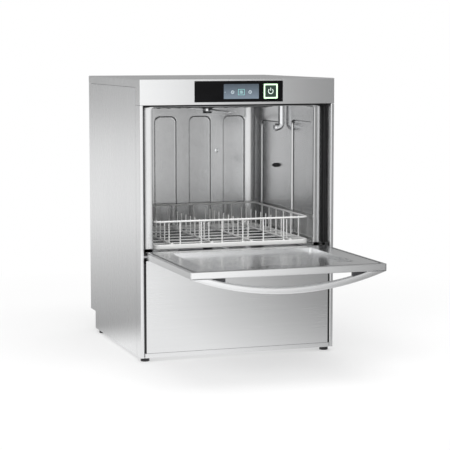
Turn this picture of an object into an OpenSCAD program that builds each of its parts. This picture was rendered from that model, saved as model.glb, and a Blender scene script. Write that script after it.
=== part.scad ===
// Front-loading undercounter warewasher: casing, wash chamber, drop-down door,
// pull-out wire rack, wash and rinse arms, pumps, boiler and dosing.
// +Z is up, the front faces -Y, and the origin is on the floor under the casing's centre.

/* [Casing] */
// Width of the casing
case_w = 600; // [580:5:660]
// Depth of the casing, front to back
case_d = 603; // [595:1:660]
// Height from the floor to the top of the roof
case_h = 820; // [810:5:880]
// Thickness of the casing sheet
sheet_t = 1.5; // [1:0.1:2]
// Height of the feet under the casing
foot_h = 12; // [10:1:20]
// Width of each front post beside the door
post_w = 11; // [9:1:14]
// Depth of each front post, front to back
post_d = 45; // [35:1:60]
// Height of the console above the door
console_h = 75; // [72:1:90]
// Height of the roof's side bands
roof_band_h = 24; // [20:1:40]
// Bend radius of the folded front and roof edges
fold_r = 3; // [2.5:0.5:4]
// Seam left between neighbouring panels
seam = 0.8; // [0.4:0.1:0.9]
// Depth of the hose recess at the rear foot
recess_d = 62; // [55:1:70]
// Height of the hose recess at the rear foot
recess_h = 55; // [50:1:64]

/* [Feet] */
// Radius of a foot's pad
foot_r = 13; // [10:0.5:16]
// Radius of a foot's threaded stem
foot_stem_r = 5; // [4:0.5:6]
// Length of the stem inside the casing
foot_stem_l = 34; // [26:1:44]
// Distance of a foot's centre from the casing's side
foot_inset = 19; // [18:1:24]

/* [Display] */
// Width of the black display glass
glass_w = 272; // [230:1:300]
// Height of the black display glass
glass_h = 61; // [50:1:64]
// Thickness of the display glass
glass_t = 4; // [3:0.5:5]
// Width of the touch screen
screen_w = 108; // [80:1:110]
// Height of the touch screen and the start button
screen_h = 43; // [36:1:46]
// Distance of the screen's centre from the glass's centre
screen_x = 7; // [0:1:10]
// Distance of the start button's centre from the glass's centre
button_x = 98; // [90:1:105]
// Width of the light ring round the start button
ring_w = 4; // [3:0.5:6]
// Travel of the start button
button_travel = 1.5; // [1:0.1:2]

/* [Door] */
// Height of the closed door's lower edge above the floor
sill_h = 300; // [290:1:310]
// Thickness of the door
door_t = 20; // [18:1:24]
// Gap between the closed door and the post on each side
door_side_gap = 6; // [4:0.5:8]
// Gap between the closed door and the console
door_top_gap = 4; // [3:0.5:6]
// Distance of the hinge line from the door's outer face and lower edge
hinge_in = 8; // [7:0.5:9]
// Radius of the hinge shafts
hinge_r = 4; // [3:0.5:5]
// Length of the hinge arms inside the posts
hinge_arm_l = 66; // [64:1:72]
// Width of the door's outer rim around its inner panel
door_rim_w = 10; // [8:1:14]
// Width of the dark groove inside the rim
door_groove_w = 4.5; // [3:0.5:6]
// Width of the raised border of the inner panel
door_border_w = 52; // [40:1:70]
// Depth of the pan in the middle of the inner panel
door_pan_d = 8.5; // [6:0.5:9]
// Number of slots at the inner panel's front edge
door_slots = 11; // [5:1:13]

/* [Handle] */
// How far the middle of the handle stands off the door
handle_sag = 50; // [44:1:60]
// Thickness of the handle bar, across the bow
handle_bar = 18; // [14:1:20]
// Depth of the handle bar, along the door
handle_d = 22; // [18:1:26]
// How far the handle stands past the door's free edge
handle_over = 3; // [2:0.5:3.5]
// Length of each end filler, inwards from the door's side
filler_w = 99; // [83:1:113]

/* [Chamber] */
// Distance of the chamber's side walls from the casing's sides
chamber_side_gap = 49; // [45:1:50]
// Gap between the chamber's ceiling and the console's lower edge
ceiling_gap = 8; // [7:1:15]
// Distance of the chamber's back wall from the casing's back
chamber_back_gap = 47; // [46:1:52]
// Radius of the chamber's rear corners
chamber_r = 40; // [25:1:50]
// Thickness of the chamber sheet
chamber_t = 1.5; // [1:0.1:2]
// How far the wall channels are pressed outwards
channel_d = 5; // [3:0.5:6]
// Width of each channel in the back wall
channel_w = 76; // [60:1:90]
// Spacing of the channels in the back wall
channel_pitch = 117; // [105:1:118]
// Distance of the channels' upper ends below the ceiling
channel_drop = 48; // [37:1:77]
// Width of the black door seal
seal_w = 24; // [20:1:26]

/* [Tank] */
// Height of the strainers above the floor
strainer_h = 260; // [256:1:264]
// Height of the tank's floor above the floor
tank_floor_h = 190; // [186:1:196]
// Width of the ledge that carries the strainers
ledge_w = 16; // [12:1:20]
// Width and depth of the sump
sump_w = 120; // [112:2:124]
// Distance of the sump's centre in front of the casing's back
sump_back = 181.5; // [176.5:1:186.5]
// Depth of the sump under the tank's floor
sump_d = 40; // [36:1:42]

/* [Rack] */
// Gap between the rack and the chamber's wall on each side
rack_side_gap = 6; // [4:0.5:11]
// Gap between the rack's ends and the chamber's, on average
rack_end_gap = 12.25; // [10.25:0.25:17.25]
// Height of the rack's underside above the floor
rack_z = 321; // [321:0.5:323]
// Height of the rack's base rail
rack_rail_h = 14; // [12:1:18]
// Width of the rack's base rail
rack_rail_w = 8; // [6:1:12]
// Overall height of the rack
rack_h = 84; // [70:1:100]
// Radius of the rim wire
rim_wire_r = 3; // [2.5:0.5:4]
// Radius of the thin wires
wire_r = 2; // [1.5:0.25:2.5]
// Spacing of the upright wires around the rack
upright_pitch = 65; // [45:1:80]
// Spacing of the plate pins, front to back
pin_pitch = 46; // [36:1:60]
// Height of the plate pins above the floor wires
pin_h = 58; // [40:1:64]

/* [Wash system] */
// Gap between the swept circle of the arms and the chamber's side walls
arm_gap = 36; // [26:1:61]
// Width of the wash arms
arm_w = 34; // [26:1:44]
// Thickness of the wash arms
arm_t = 11; // [9:0.5:12]
// Radius of the rinse tubes
rinse_tube_r = 4; // [3:0.5:4.5]
// Radius of the arms' hubs
hub_r = 24; // [20:1:28]
// Radius of the spindles that the arms turn on
spindle_r = 8; // [6:0.5:10]
// Radius of the pipes that feed the arms
feed_r = 14; // [12:0.5:15]
// Radius of the wash pump's housing
pump_r = 50; // [46:1:52]
// Radius of the wash pump's motor
motor_r = 45; // [38:1:46]
// Height of the wash pump's axis above the floor
pump_z = 76; // [74:1:78]
// Radius of the boiler
boiler_r = 60; // [50:1:62]
// Length of the boiler
boiler_l = 350; // [300:5:360]
// Radius of the fill spout's pipe
spout_r = 10; // [8:0.5:11]
// How far the fill spout hangs below the ceiling
spout_l = 85; // [57:1:97]

/* [Fits] */
// Running clearance of a shaft in its bore
run_fit = 0.05; // [0.02:0.01:0.08]
// Gap between parts that stand close together
close_fit = 0.3; // [0.2:0.05:0.4]

/* [Hidden] */
$fn = 48;

steel = [0.80, 0.81, 0.82];
bright_steel = [0.88, 0.89, 0.90];
black_plastic = [0.06, 0.06, 0.07];
grey_plastic = [0.35, 0.36, 0.38];
white_coat = [0.93, 0.93, 0.92];

// casing faces
side = case_w / 2;
front = -case_d / 2;
back = case_d / 2;
console_z = case_h - console_h;
band_z = case_h - roof_band_h;
post_back = front + post_d;
opening_x = side - post_w;
inner_side = side - sheet_t;
recess_y = back - recess_d;
recess_z = foot_h + recess_h;
strip_top = foot_h + 13;
base_top = foot_h + 2 * sheet_t;
small = 0.01;

// display
glass_z = console_z + console_h / 2;
glass_y = front - 0.5;
glass_back = glass_y + glass_t;
window_fit = 0.2;
housing_d = 23;
board_y = glass_back + 14;
board_t = 1.6;

// door in its open pose
door_w = case_w - 2 * (post_w + door_side_gap);
door_x = door_w / 2;
door_l = console_z - door_top_gap - sill_h;
hinge_y = front + hinge_in;
hinge_z = sill_h + hinge_in;
door_z = hinge_z - hinge_in;
door_top = door_z + door_t;
door_rear = hinge_y + hinge_in;
door_front = door_rear - door_l;
door_sheet = 1.5;
door_skin_r = 3;
door_corner_r = 6;
door_heel = 18;
closed_inner_y = front + door_t;
arm_x = opening_x + 2.5;
hinge_arm_t = 3;
bush_r = hinge_r + 2.5;
arm_end = hinge_arm_l * sin(45);

// handle, a ring sector about an axis along Y
handle_r = (door_x * door_x + handle_sag * handle_sag) / (2 * handle_sag);
handle_z = door_z - handle_sag + handle_r;
handle_y = door_front - handle_over;
filler_x = door_x - filler_w;

// chamber and tank
chamber_x = side - chamber_side_gap;
chamber_front = post_back - 3.5;
chamber_back = back - chamber_back_gap;
chamber_foot = sill_h;
ceiling_h = console_z - ceiling_gap;
channel_top = ceiling_h - channel_drop;
sump_y = back - sump_back;
flange_front = chamber_front - chamber_t;
seal_front = closed_inner_y + 0.4;
seal_foot = door_top + 6;
seal_x = opening_x - seal_w;
seal_z = console_z - 14;
ledge_x = chamber_x - ledge_w;
ledge_front = chamber_front + ledge_w;
ledge_back = chamber_back - ledge_w;
sump_h = tank_floor_h - sump_d;
wall_t = chamber_t;

// arms
arm_y = (chamber_front + chamber_back) / 2;
arm_r = chamber_x - arm_gap;
strainer_t = 1.5;
hub_gap = 0.3;
nut_h = 5.5;
nut_r = 14;
rinse_hub_h = 2 * rinse_tube_r + 2;
lower_nut_top = rack_z - 2.5;
lower_rinse_z = lower_nut_top - nut_h - hub_gap - rinse_hub_h;
lower_wash_z = lower_rinse_z - hub_gap - arm_t;
lower_post_top = lower_wash_z - hub_gap;
upper_wash_z = ceiling_h - 2 - arm_t;
upper_rinse_z = upper_wash_z - hub_gap - rinse_hub_h;
upper_nut_z = upper_rinse_z - hub_gap - nut_h;

// pump, boiler and pipes
volute_w = 40;
motor_x = volute_w / 2 + 3;
motor_l = 165;
suction_x = -42;
suction_r = 17;
suction_bend = 20;
pipe_t = 1.5;
bend_r = 24;
run_z = pump_z + pump_r - feed_r;
outlet_front = sump_y - pump_r - 8;
outlet_back = sump_y + pump_r + 8;
riser_y = back - 24;
riser_top = ceiling_h + 42;
boiler_x = -230;
boiler_y = front + 132;
boiler_z = base_top + 10 + boiler_r;
heater_rod_r = 4;
heater_z = tank_floor_h + 25;
heater_y = -100;

// water and drain connections, centred in the height of the rear recess
outlet_z = foot_h + recess_h / 2;
drain_x = 81 - chamber_x;
drain_y = sump_y + 30;
drain_r = 11;
drain_l = 42;
drain_pump_r = 36;
drain_pump_top = base_top + 96;
drain_hose_r = 10;
inlet_x = 170;
inlet_r = 13.2;
inlet_l = 22;
neck_l = 1;
neck_step = 0.4;
gland_x = -60;
gland_bore = 5;
hose_r = 7;
tank_gap_x = (chamber_x + side) / 2 + 3;
break_y0 = 60;
break_y1 = 210;
break_z0 = 350;
break_z1 = 620;

// power box, wall fitting and probe
power_x = 204;
power_front = 20;
power_back = 150;
power_h = 130;
power_wall = 2;
fitting_y = 70;
fitting_drop = 200;
probe_drop = 162;

// dosing
dosing_w = 44;
dosing_h = 64;
dosing_x = [side - 118, side - 68];
dosing_y = front + 16;
rotor_r = 15;
rotor_z = base_top + 38;

// rack
rack_x = chamber_x - rack_side_gap;
rack_front = chamber_front + rack_end_gap + 1;
rack_back = chamber_back - rack_end_gap + 1;
rack_r = 24;
rim_z = rack_z + rack_h - rim_wire_r;
grid_z = rack_z + rack_rail_h - 5;
pin_rows = [-186, -62, 62, 186];
rail_top = rack_z - close_fit;
rail_back = chamber_back - chamber_r;

module block(low, high) {
    translate(low) cube(high - low);
}

module rod_x(r, x0, x1, y, z) {
    translate([x0, y, z]) rotate([0, 90, 0]) cylinder(r = r, h = x1 - x0);
}

module rod_y(r, x, y0, y1, z) {
    translate([x, y0, z]) rotate([-90, 0, 0]) cylinder(r = r, h = y1 - y0);
}

module rod_z(r, x, y, z0, z1) {
    translate([x, y, z0]) cylinder(r = r, h = z1 - z0);
}

module both_sides() {
    children();
    mirror([1, 0, 0]) children();
}

// A rectangle from corner to corner, each corner rounded
module rounded(low, high, r) {
    w = high[0] - low[0];
    h = high[1] - low[1];
    translate([low[0] + r, low[1]]) square([w - 2 * r, h]);
    translate([low[0], low[1] + r]) square([w, h - 2 * r]);
    for (x = [low[0] + r, high[0] - r], y = [low[1] + r, high[1] - r])
        translate([x, y]) circle(r);
}

// An upright wall plate's outline in X and Z, extruded along Y
module along_y(y0, y1) {
    translate([0, y1, 0]) rotate([90, 0, 0]) linear_extrude(y1 - y0) children();
}

// An outline in Y and Z, extruded along X
module along_x(x0, x1) {
    translate([x0, 0, 0]) rotate([90, 0, 90]) linear_extrude(x1 - x0) children();
}

// A quarter bend in the XY plane, from the +X side to the +Y side
module bend(r, pipe) {
    rotate_extrude(angle = 90) translate([r, 0]) circle(pipe);
}

// A quarter bend in the YZ plane. Its ends meet a run along Y and a run along Z:
// dy and dz say which way each leaves the corner point
module bend_yz(x, y, z, dy, dz, r, pipe) {
    translate([x, y + dy * r, z + dz * r])
        mirror([0, dy > 0 ? 0 : 1, 0]) mirror([0, 0, dz > 0 ? 0 : 1])
            rotate([0, -90, 0]) rotate([0, 0, 180]) bend(r, pipe);
}

// The same bend in the XZ plane
module bend_xz(x, y, z, dx, dz, r, pipe) {
    translate([x, y, z]) rotate([0, 0, -90]) bend_yz(0, 0, 0, dx, dz, r, pipe);
}

// ---- casing ----

module cover_solid() {
    intersection() {
        along_y(front, back)
            rounded([-side, console_z - fold_r], [side, case_h], fold_r);
        along_x(-side, side) union() {
            rounded([front, console_z - fold_r * 2], [back, case_h], fold_r);
        }
        linear_extrude(case_h + 1)
            rounded([-side, front], [side, back + fold_r * 2], fold_r);
        union() {
            block([-side, front, console_z], [side, post_back, case_h]);
            block([-side, front, band_z], [side, back, case_h]);
        }
    }
}

module top_cover() {
    color(steel) difference() {
        cover_solid();
        block([-inner_side, front + sheet_t, console_z + sheet_t],
            [inner_side, back - sheet_t, case_h - sheet_t]);
        block([-inner_side, post_back - small, console_z - 1],
            [inner_side, back - sheet_t, case_h - sheet_t]);
        block([-glass_w / 2 - window_fit, front - 1, glass_z - glass_h / 2 - window_fit],
            [glass_w / 2 + window_fit, front + sheet_t + 1, glass_z + glass_h / 2 + window_fit]);
    }
}

module display_glass() {
    s = window_fit;
    color(black_plastic) difference() {
        along_y(glass_y, glass_back)
            rounded([-glass_w / 2, glass_z - glass_h / 2], [glass_w / 2, glass_z + glass_h / 2], 2);
        block([screen_x - screen_w / 2 - s, glass_y - 1, glass_z - screen_h / 2 - s],
            [screen_x + screen_w / 2 + s, glass_back + 1, glass_z + screen_h / 2 + s]);
        block([button_x - screen_h / 2 - s, glass_y - 1, glass_z - screen_h / 2 - s],
            [button_x + screen_h / 2 + s, glass_back + 1, glass_z + screen_h / 2 + s]);
    }
}

module touch_screen() {
    color([0.33, 0.42, 0.50]) along_y(glass_y + 0.2, glass_back)
        rounded([screen_x - screen_w / 2, glass_z - screen_h / 2],
            [screen_x + screen_w / 2, glass_z + screen_h / 2], 1.5);
}

module start_ring() {
    color([0.65, 0.95, 0.70]) along_y(glass_y, glass_back) difference() {
        rounded([button_x - screen_h / 2, glass_z - screen_h / 2],
            [button_x + screen_h / 2, glass_z + screen_h / 2], 2.5);
        rounded([button_x - screen_h / 2 + ring_w, glass_z - screen_h / 2 + ring_w],
            [button_x + screen_h / 2 - ring_w, glass_z + screen_h / 2 - ring_w], 2);
    }
}

module start_button() {
    edge = screen_h / 2 - ring_w - close_fit;
    color([0.05, 0.30, 0.20]) {
        along_y(glass_y, glass_back + 3)
            rounded([button_x - edge, glass_z - edge], [button_x + edge, glass_z + edge], 1.8);
        rod_y(4, button_x, glass_back + 3, board_y - button_travel - close_fit, glass_z);
    }
}

module display_housing() {
    w = glass_w / 2 - 2;
    h = glass_h / 2 - 2;
    y1 = glass_back + housing_d;
    color(grey_plastic) {
        difference() {
            block([-w, glass_back, glass_z - h], [w, y1, glass_z + h]);
            block([-w + 2, glass_back - 1, glass_z - h + 2], [w - 2, y1 - 2, glass_z + h - 2]);
        }
        for (x = [-w + 16, w - 16], z = [glass_z - h + 10, glass_z + h - 10])
            rod_y(3, x, board_y + board_t, y1 - 2, z);
    }
}

module control_board() {
    w = glass_w / 2 - 8;
    h = glass_h / 2 - 6;
    color([0.05, 0.35, 0.20]) {
        block([-w, board_y, glass_z - h], [w, board_y + board_t, glass_z + h]);
        for (x = [-90, -40, 30])
            block([x, board_y + board_t, glass_z - 8], [x + 18, board_y + board_t + 3, glass_z + 8]);
    }
}

module side_panel() {
    y0 = post_back + seam;
    z1 = band_z - seam;
    difference() {
        union() {
            block([inner_side, y0, foot_h], [side, back - seam, z1]);
            block([side - 12, y0, foot_h], [side, recess_y - sheet_t - seam, foot_h + sheet_t]);
            block([side - 12, y0, base_top + seam], [side, y0 + sheet_t, z1]);
        }
        block([0, recess_y, 0], [case_w, case_d, recess_z]);
        block([0, y0 - 1, hinge_z - hinge_arm_l - 8],
            [inner_side, y0 + sheet_t + 1, hinge_z + hinge_arm_l + 8]);
    }
}

module left_side_panel() {
    color(steel) mirror([1, 0, 0]) side_panel();
}

module right_side_panel() {
    color(steel) side_panel();
}

module rear_panel() {
    color(steel) difference() {
        union() {
            block([-inner_side + seam / 2, back - sheet_t, recess_z + sheet_t],
                [inner_side - seam / 2, back, band_z - seam]);
            both_sides()
                block([inner_side - seam / 2 - sheet_t, back - 14, recess_z + sheet_t + 1],
                    [inner_side - seam / 2, back - sheet_t, band_z - seam]);
        }
        for (n = [-5:5])
            block([n * 26 - 4, back - 3, band_z - 96], [n * 26 + 4, back + 1, band_z - 48]);
    }
}

module base_tray() {
    x0 = inner_side;
    notch_y = recess_y - sheet_t;
    color(steel) difference() {
        union() {
            block([-x0, front + sheet_t, foot_h + sheet_t], [x0, recess_y, base_top]);
            both_sides()
                block([x0 - sheet_t, post_back + 4, base_top], [x0, recess_y, base_top + 20]);
            block([-opening_x + sheet_t, front, foot_h],
                [opening_x - sheet_t, front + sheet_t, strip_top]);
            block([-x0, notch_y, foot_h], [x0, recess_y, recess_z]);
            block([-x0, notch_y, recess_z], [x0, back, recess_z + sheet_t]);
            both_sides() for (y = [foot_y(0), foot_y(1)])
                rod_z(foot_stem_r + 4, side - foot_inset, y, base_top, base_top + 10);
        }
        both_sides() for (y = [foot_y(0), foot_y(1)])
            rod_z(foot_stem_r + run_fit, side - foot_inset, y, 0, foot_h + 60);
        both_sides() block([opening_x, 2 * front, 0], [side + 1, post_back, strip_top + 10]);
        rod_y(drain_r + 0.5, drain_x, notch_y - 1, recess_y + 1, outlet_z);
        rod_y(inlet_r + 0.5, inlet_x, notch_y - 1, recess_y + 1, outlet_z);
        rod_y(8, gland_x, notch_y - 1, recess_y + 1, outlet_z);
    }
}

module front_post() {
    difference() {
        translate([0, 0, foot_h]) linear_extrude(console_z - seam - foot_h) difference() {
            rounded([opening_x, front], [side, post_back + 2 * fold_r], fold_r);
            translate([opening_x + sheet_t, front + sheet_t])
                square([post_w - 2 * sheet_t, 2 * post_d]);
            translate([0, post_back]) square([case_w, post_d]);
        }
        rod_x(bush_r, opening_x - 1, opening_x + sheet_t + 1, hinge_y, hinge_z);
    }
}

module front_posts() {
    color(steel) both_sides() front_post();
}

module hinge_bushes() {
    color(black_plastic) both_sides() difference() {
        rod_x(bush_r, opening_x, arm_x - window_fit, hinge_y, hinge_z);
        rod_x(hinge_r + run_fit, opening_x - 1, arm_x + 1, hinge_y, hinge_z);
    }
}

module lower_front_panel() {
    z1 = sill_h - 3.5;
    color(steel) difference() {
        block([-door_x, front, strip_top + seam], [door_x, front + 20, z1]);
        block([-door_x + sheet_t, front + sheet_t, strip_top], [door_x - sheet_t, front + 21, z1 - sheet_t]);
        block([-door_x - 1, front + 12, z1 - 2 * sheet_t], [door_x + 1, front + 21, z1 + 1]);
    }
}

module side_seals() {
    color(black_plastic) both_sides()
        block([door_x, front + 3, strip_top + seam], [opening_x, front + 14, sill_h - 12]);
}

// ---- chamber and tank ----

// Plan of the chamber, grown outwards by a wall, square in front and round at the back
module chamber_plan(grow) {
    x = chamber_x + grow;
    y = chamber_back + grow;
    r = chamber_r + grow;
    translate([-x, chamber_front - grow]) square([2 * x, y - r - chamber_front + grow]);
    translate([-x + r, chamber_front]) square([2 * x - 2 * r, y - chamber_front]);
    for (s = [-1, 1]) translate([s * (x - r), y - r]) circle(r);
}

// The pressed channels: outlines on the back wall and on the side walls
module channels(grow) {
    foot = chamber_foot + 24;
    reach = channel_d + grow;
    for (n = [-1.5:1.5])
        along_y(chamber_back - small, chamber_back + reach)
            rounded([n * channel_pitch - channel_w / 2 - grow, foot - grow],
                [n * channel_pitch + channel_w / 2 + grow, channel_top + grow], 12);
    both_sides() along_x(chamber_x - small, chamber_x + reach) {
        rounded([chamber_front + 10 - grow, foot - grow],
            [chamber_front + 187 + grow, channel_top + grow], 12);
        rounded([arm_y - 24 - grow, foot - grow],
            [chamber_back - chamber_r - 14 + grow, channel_top - 12 + grow], 12);
    }
}

module chamber_shell() {
    color(bright_steel) difference() {
        union() {
            translate([0, 0, chamber_foot])
                linear_extrude(ceiling_h + chamber_t - chamber_foot) chamber_plan(chamber_t);
            channels(chamber_t);
            block([-opening_x, flange_front, seal_foot], [opening_x, chamber_front, console_z - seam]);
        }
        translate([0, 0, chamber_foot - 1])
            linear_extrude(ceiling_h - chamber_foot + 1) chamber_plan(0);
        block([-chamber_x, flange_front - 1, chamber_foot - 1],
            [chamber_x, chamber_front + 1, ceiling_h]);
        channels(0);
        rod_z(spindle_r + 6, 0, arm_y, ceiling_h - 1, case_h);
    }
}

module door_gasket() {
    color(black_plastic) difference() {
        block([-opening_x, seal_front, seal_foot], [opening_x, flange_front, console_z - 2]);
        block([-seal_x, seal_front - 1, seal_foot - 1], [seal_x, flange_front + 1, seal_z]);
        both_sides() block([seal_x + 8, seal_front - 1, seal_foot - 1],
            [seal_x + 11, seal_front + 6, seal_z + 7]);
        block([-seal_x - 11, seal_front - 1, seal_z + 4], [seal_x + 11, seal_front + 6, seal_z + 7]);
    }
}

module tank_outside() {
    translate([0, 0, strainer_h - wall_t])
        linear_extrude(chamber_foot - strainer_h + wall_t) chamber_plan(wall_t);
    block([-ledge_x - wall_t, ledge_front - wall_t, tank_floor_h - wall_t],
        [ledge_x + wall_t, ledge_back + wall_t, strainer_h]);
    block([-sump_w / 2 - wall_t, sump_y - sump_w / 2 - wall_t, sump_h - wall_t],
        [sump_w / 2 + wall_t, sump_y + sump_w / 2 + wall_t, tank_floor_h]);
}

module wash_tank() {
    color(bright_steel) difference() {
        union() {
            tank_outside();
            block([-chamber_x, closed_inner_y + 5, chamber_foot - chamber_t],
                [chamber_x, chamber_front, chamber_foot]);
        }
        translate([0, 0, strainer_h]) linear_extrude(chamber_foot) chamber_plan(0);
        block([-ledge_x, ledge_front, tank_floor_h], [ledge_x, ledge_back, strainer_h + 1]);
        block([-sump_w / 2, sump_y - sump_w / 2, sump_h],
            [sump_w / 2, sump_y + sump_w / 2, tank_floor_h + 1]);
        rod_z(suction_r - pipe_t, suction_x, sump_y, sump_h - 5, sump_h + 5);
        rod_z(feed_r - pipe_t, 0, arm_y, tank_floor_h - 5, tank_floor_h + 5);
        rod_x(18, ledge_x - 5, ledge_x + 5, heater_y, heater_z);
    }
}

module support_brackets() {
    z1 = tank_floor_h - wall_t;
    leg_x = chamber_x - 22;
    color(steel) {
        both_sides() for (y = [-100, 160])
            block([leg_x - 2, y, base_top], [leg_x, y + 50, z1]);
        for (x = [boiler_x + 60, boiler_x + boiler_l - 60]) difference() {
            block([x - 6, boiler_y - 40, base_top], [x + 6, boiler_y + 40, boiler_z]);
            rod_x(boiler_r, boiler_x, boiler_x + boiler_l, boiler_y, boiler_z);
        }
        difference() {
            block([motor_x + 40, sump_y - 30, base_top], [motor_x + 120, sump_y + 30, pump_z]);
            rod_x(motor_r, 0, case_w, sump_y, pump_z);
        }
        translate([0, sump_y, 0]) difference() {
            block([-8, -30, base_top], [8, 30, pump_z]);
            rod_x(pump_r, -20, 20, 0, pump_z);
        }
        block([tank_gap_x - 12, break_y0 + 10, break_z0 - 40], [inner_side, break_y0 + 14, break_z0]);
        block([tank_gap_x - 12, break_y1 - 14, break_z0 - 40], [inner_side, break_y1 - 10, break_z0]);
    }
}

module rack_rails() {
    color(bright_steel) both_sides() {
        block([rack_x - 20, chamber_front + 6, rail_top - 1.5], [chamber_x, rail_back, rail_top]);
        block([chamber_x - 1.5, chamber_front + 6, rail_top - 14], [chamber_x, rail_back, rail_top]);
    }
}

module tank_strainers() {
    color(bright_steel) difference() {
        intersection() {
            translate([0, 0, strainer_h]) linear_extrude(strainer_t) chamber_plan(-close_fit);
            union() both_sides()
                block([close_fit, -case_d, strainer_h - 1], [case_w, case_d, strainer_h + 5]);
        }
        rod_z(feed_r + close_fit, 0, arm_y, 0, case_h);
        rod_z(52, 0, sump_y, 0, case_h);
        both_sides() for (i = [0:4], j = [0:6])
            translate([70 + i * 34, chamber_front + 46 + j * 62, strainer_h - 1])
                cube([5, 40, strainer_t + 2]);
    }
}

module filter_basket() {
    z0 = sump_h + 8;
    z1 = strainer_h + strainer_t;
    color([0.75, 0.76, 0.78]) difference() {
        union() {
            rod_z(50, 0, sump_y, z0, z1);
            rod_z(56, 0, sump_y, z1, z1 + 1.5);
        }
        rod_z(48.5, 0, sump_y, z0 + 2, z1 + 5);
        for (a = [0:30:330]) translate([0, sump_y, z0 + 20]) rotate([0, 0, a])
            translate([0, -3, 0]) cube([60, 6, 60]);
    }
    color(grey_plastic) {
        for (x = [-52, 52]) rod_z(2.5, x, sump_y, z1 + 1.5, z1 + 16);
        rod_x(2.5, -54.5, 54.5, sump_y, z1 + 16);
    }
}

// ---- wash system ----

module arm_posts() {
    roof = ceiling_h + chamber_t;
    color(grey_plastic) {
        rod_z(feed_r, 0, arm_y, tank_floor_h, lower_post_top);
        rod_z(spindle_r, 0, arm_y, lower_post_top, lower_nut_top - 1);
        rod_z(spindle_r + 6, 0, arm_y, upper_wash_z + arm_t + hub_gap, roof + 10);
        rod_z(spindle_r, 0, arm_y, upper_nut_z + 1, roof);
    }
}

module arm_nuts() {
    color(grey_plastic) for (z = [lower_nut_top - nut_h, upper_nut_z]) difference() {
        rod_z(nut_r, 0, arm_y, z, z + nut_h);
        rod_z(spindle_r, 0, arm_y, lower_nut_top - nut_h - 1, lower_nut_top - 1);
        rod_z(spindle_r, 0, arm_y, upper_nut_z + 1, case_h);
    }
}

// A two-bladed wash arm, its underside at z, with its jets in the face given by up
module wash_arm(z, up) {
    tip = arm_r - arm_w / 2;
    jet_z = up ? z + arm_t - 2 : z - 1;
    color(grey_plastic) difference() {
        union() {
            rod_z(hub_r, 0, arm_y, z, z + arm_t);
            translate([0, arm_y, z + 1]) linear_extrude(arm_t - 2) union() {
                translate([-tip, -arm_w / 2]) square([2 * tip, arm_w]);
                for (x = [-tip, tip]) translate([x, 0]) circle(arm_w / 2);
            }
        }
        rod_z(spindle_r + run_fit, 0, arm_y, z - 1, z + arm_t + 1);
        for (n = [0:4], s = [-1, 1])
            translate([s * (60 + n * 33) - 1.5, arm_y - 9 + s * n, jet_z]) cube([3, 16, 3]);
    }
}

// A rinse arm of two thin tubes, its underside at z
module rinse_arm(z) {
    mid = z + rinse_hub_h / 2;
    color(bright_steel) difference() {
        union() {
            rod_z(16, 0, arm_y, z, z + rinse_hub_h);
            rod_y(rinse_tube_r, 0, arm_y - arm_r, arm_y + arm_r, mid);
        }
        rod_z(spindle_r + run_fit, 0, arm_y, z - 1, z + rinse_hub_h + 1);
        for (n = [0:4], s = [-1, 1])
            translate([-1, arm_y + s * (50 + n * 36), z]) cube([2, 10, 2]);
    }
}

module lower_wash_arm() {
    wash_arm(lower_wash_z, true);
}

module lower_rinse_arm() {
    rinse_arm(lower_rinse_z);
}

module upper_wash_arm() {
    wash_arm(upper_wash_z, false);
}

module upper_rinse_arm() {
    rinse_arm(upper_rinse_z);
}

module fill_spout() {
    x = chamber_x - spout_r - 4;
    y = arm_y - 18;
    turn = spout_r + 3;
    low = ceiling_h - spout_l + spout_r;
    color([0.90, 0.91, 0.93]) {
        rod_z(spout_r + 3, x, y, ceiling_h - 4, ceiling_h);
        rod_z(spout_r, x, y, low + turn, ceiling_h - 4);
        bend_xz(x, y, low, -1, 1, turn, spout_r);
        rod_x(spout_r, x - turn - 4, x - turn, y, low);
        rod_x(spout_r + 1.5, x - turn - 10, x - turn - 4, y, low);
    }
}

module wall_fittings() {
    color(black_plastic) {
        rod_x(9, chamber_x - 3, chamber_x + channel_d, arm_y + fitting_y, ceiling_h - fitting_drop);
        rod_x(5, chamber_x - 12, chamber_x - 3, arm_y + fitting_y, ceiling_h - fitting_drop);
        rod_y(8, channel_pitch, chamber_back - 6, chamber_back, ceiling_h - probe_drop);
    }
}

// A hairpin rod in the XY plane: two legs from x0 to x1 and a round end at x0
module hairpin(x0, x1, y, z, half) {
    for (s = [-1, 1]) rod_x(heater_rod_r, x0, x1, y + s * half, z);
    translate([x0, y, z]) rotate([0, 0, 90])
        rotate_extrude(angle = 180) translate([half, 0]) circle(heater_rod_r);
}

module heating_elements() {
    flange = ledge_x + wall_t;
    end = boiler_x;
    color([0.45, 0.42, 0.40]) {
        hairpin(-180, flange + 4, heater_y, heater_z, 12);
        rod_x(24, flange, flange + 4, heater_y, heater_z);
        for (s = [-1, 1])
            mirror([1, 0, 0]) hairpin(-end - boiler_l + 60, -end + 4, boiler_y, boiler_z + s * 14, 16);
        rod_x(38, end - 4, end, boiler_y, boiler_z);
    }
}

module boiler() {
    x1 = boiler_x + boiler_l;
    color(bright_steel) difference() {
        union() {
            rod_x(boiler_r, boiler_x, x1, boiler_y, boiler_z);
            rod_x(hose_r, x1, x1 + 18, boiler_y, boiler_z - 20);
        }
        rod_x(boiler_r - 2, boiler_x + 2, x1 - 2, boiler_y, boiler_z);
        rod_x(32, boiler_x - 1, boiler_x + 3, boiler_y, boiler_z);
    }
}

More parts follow.
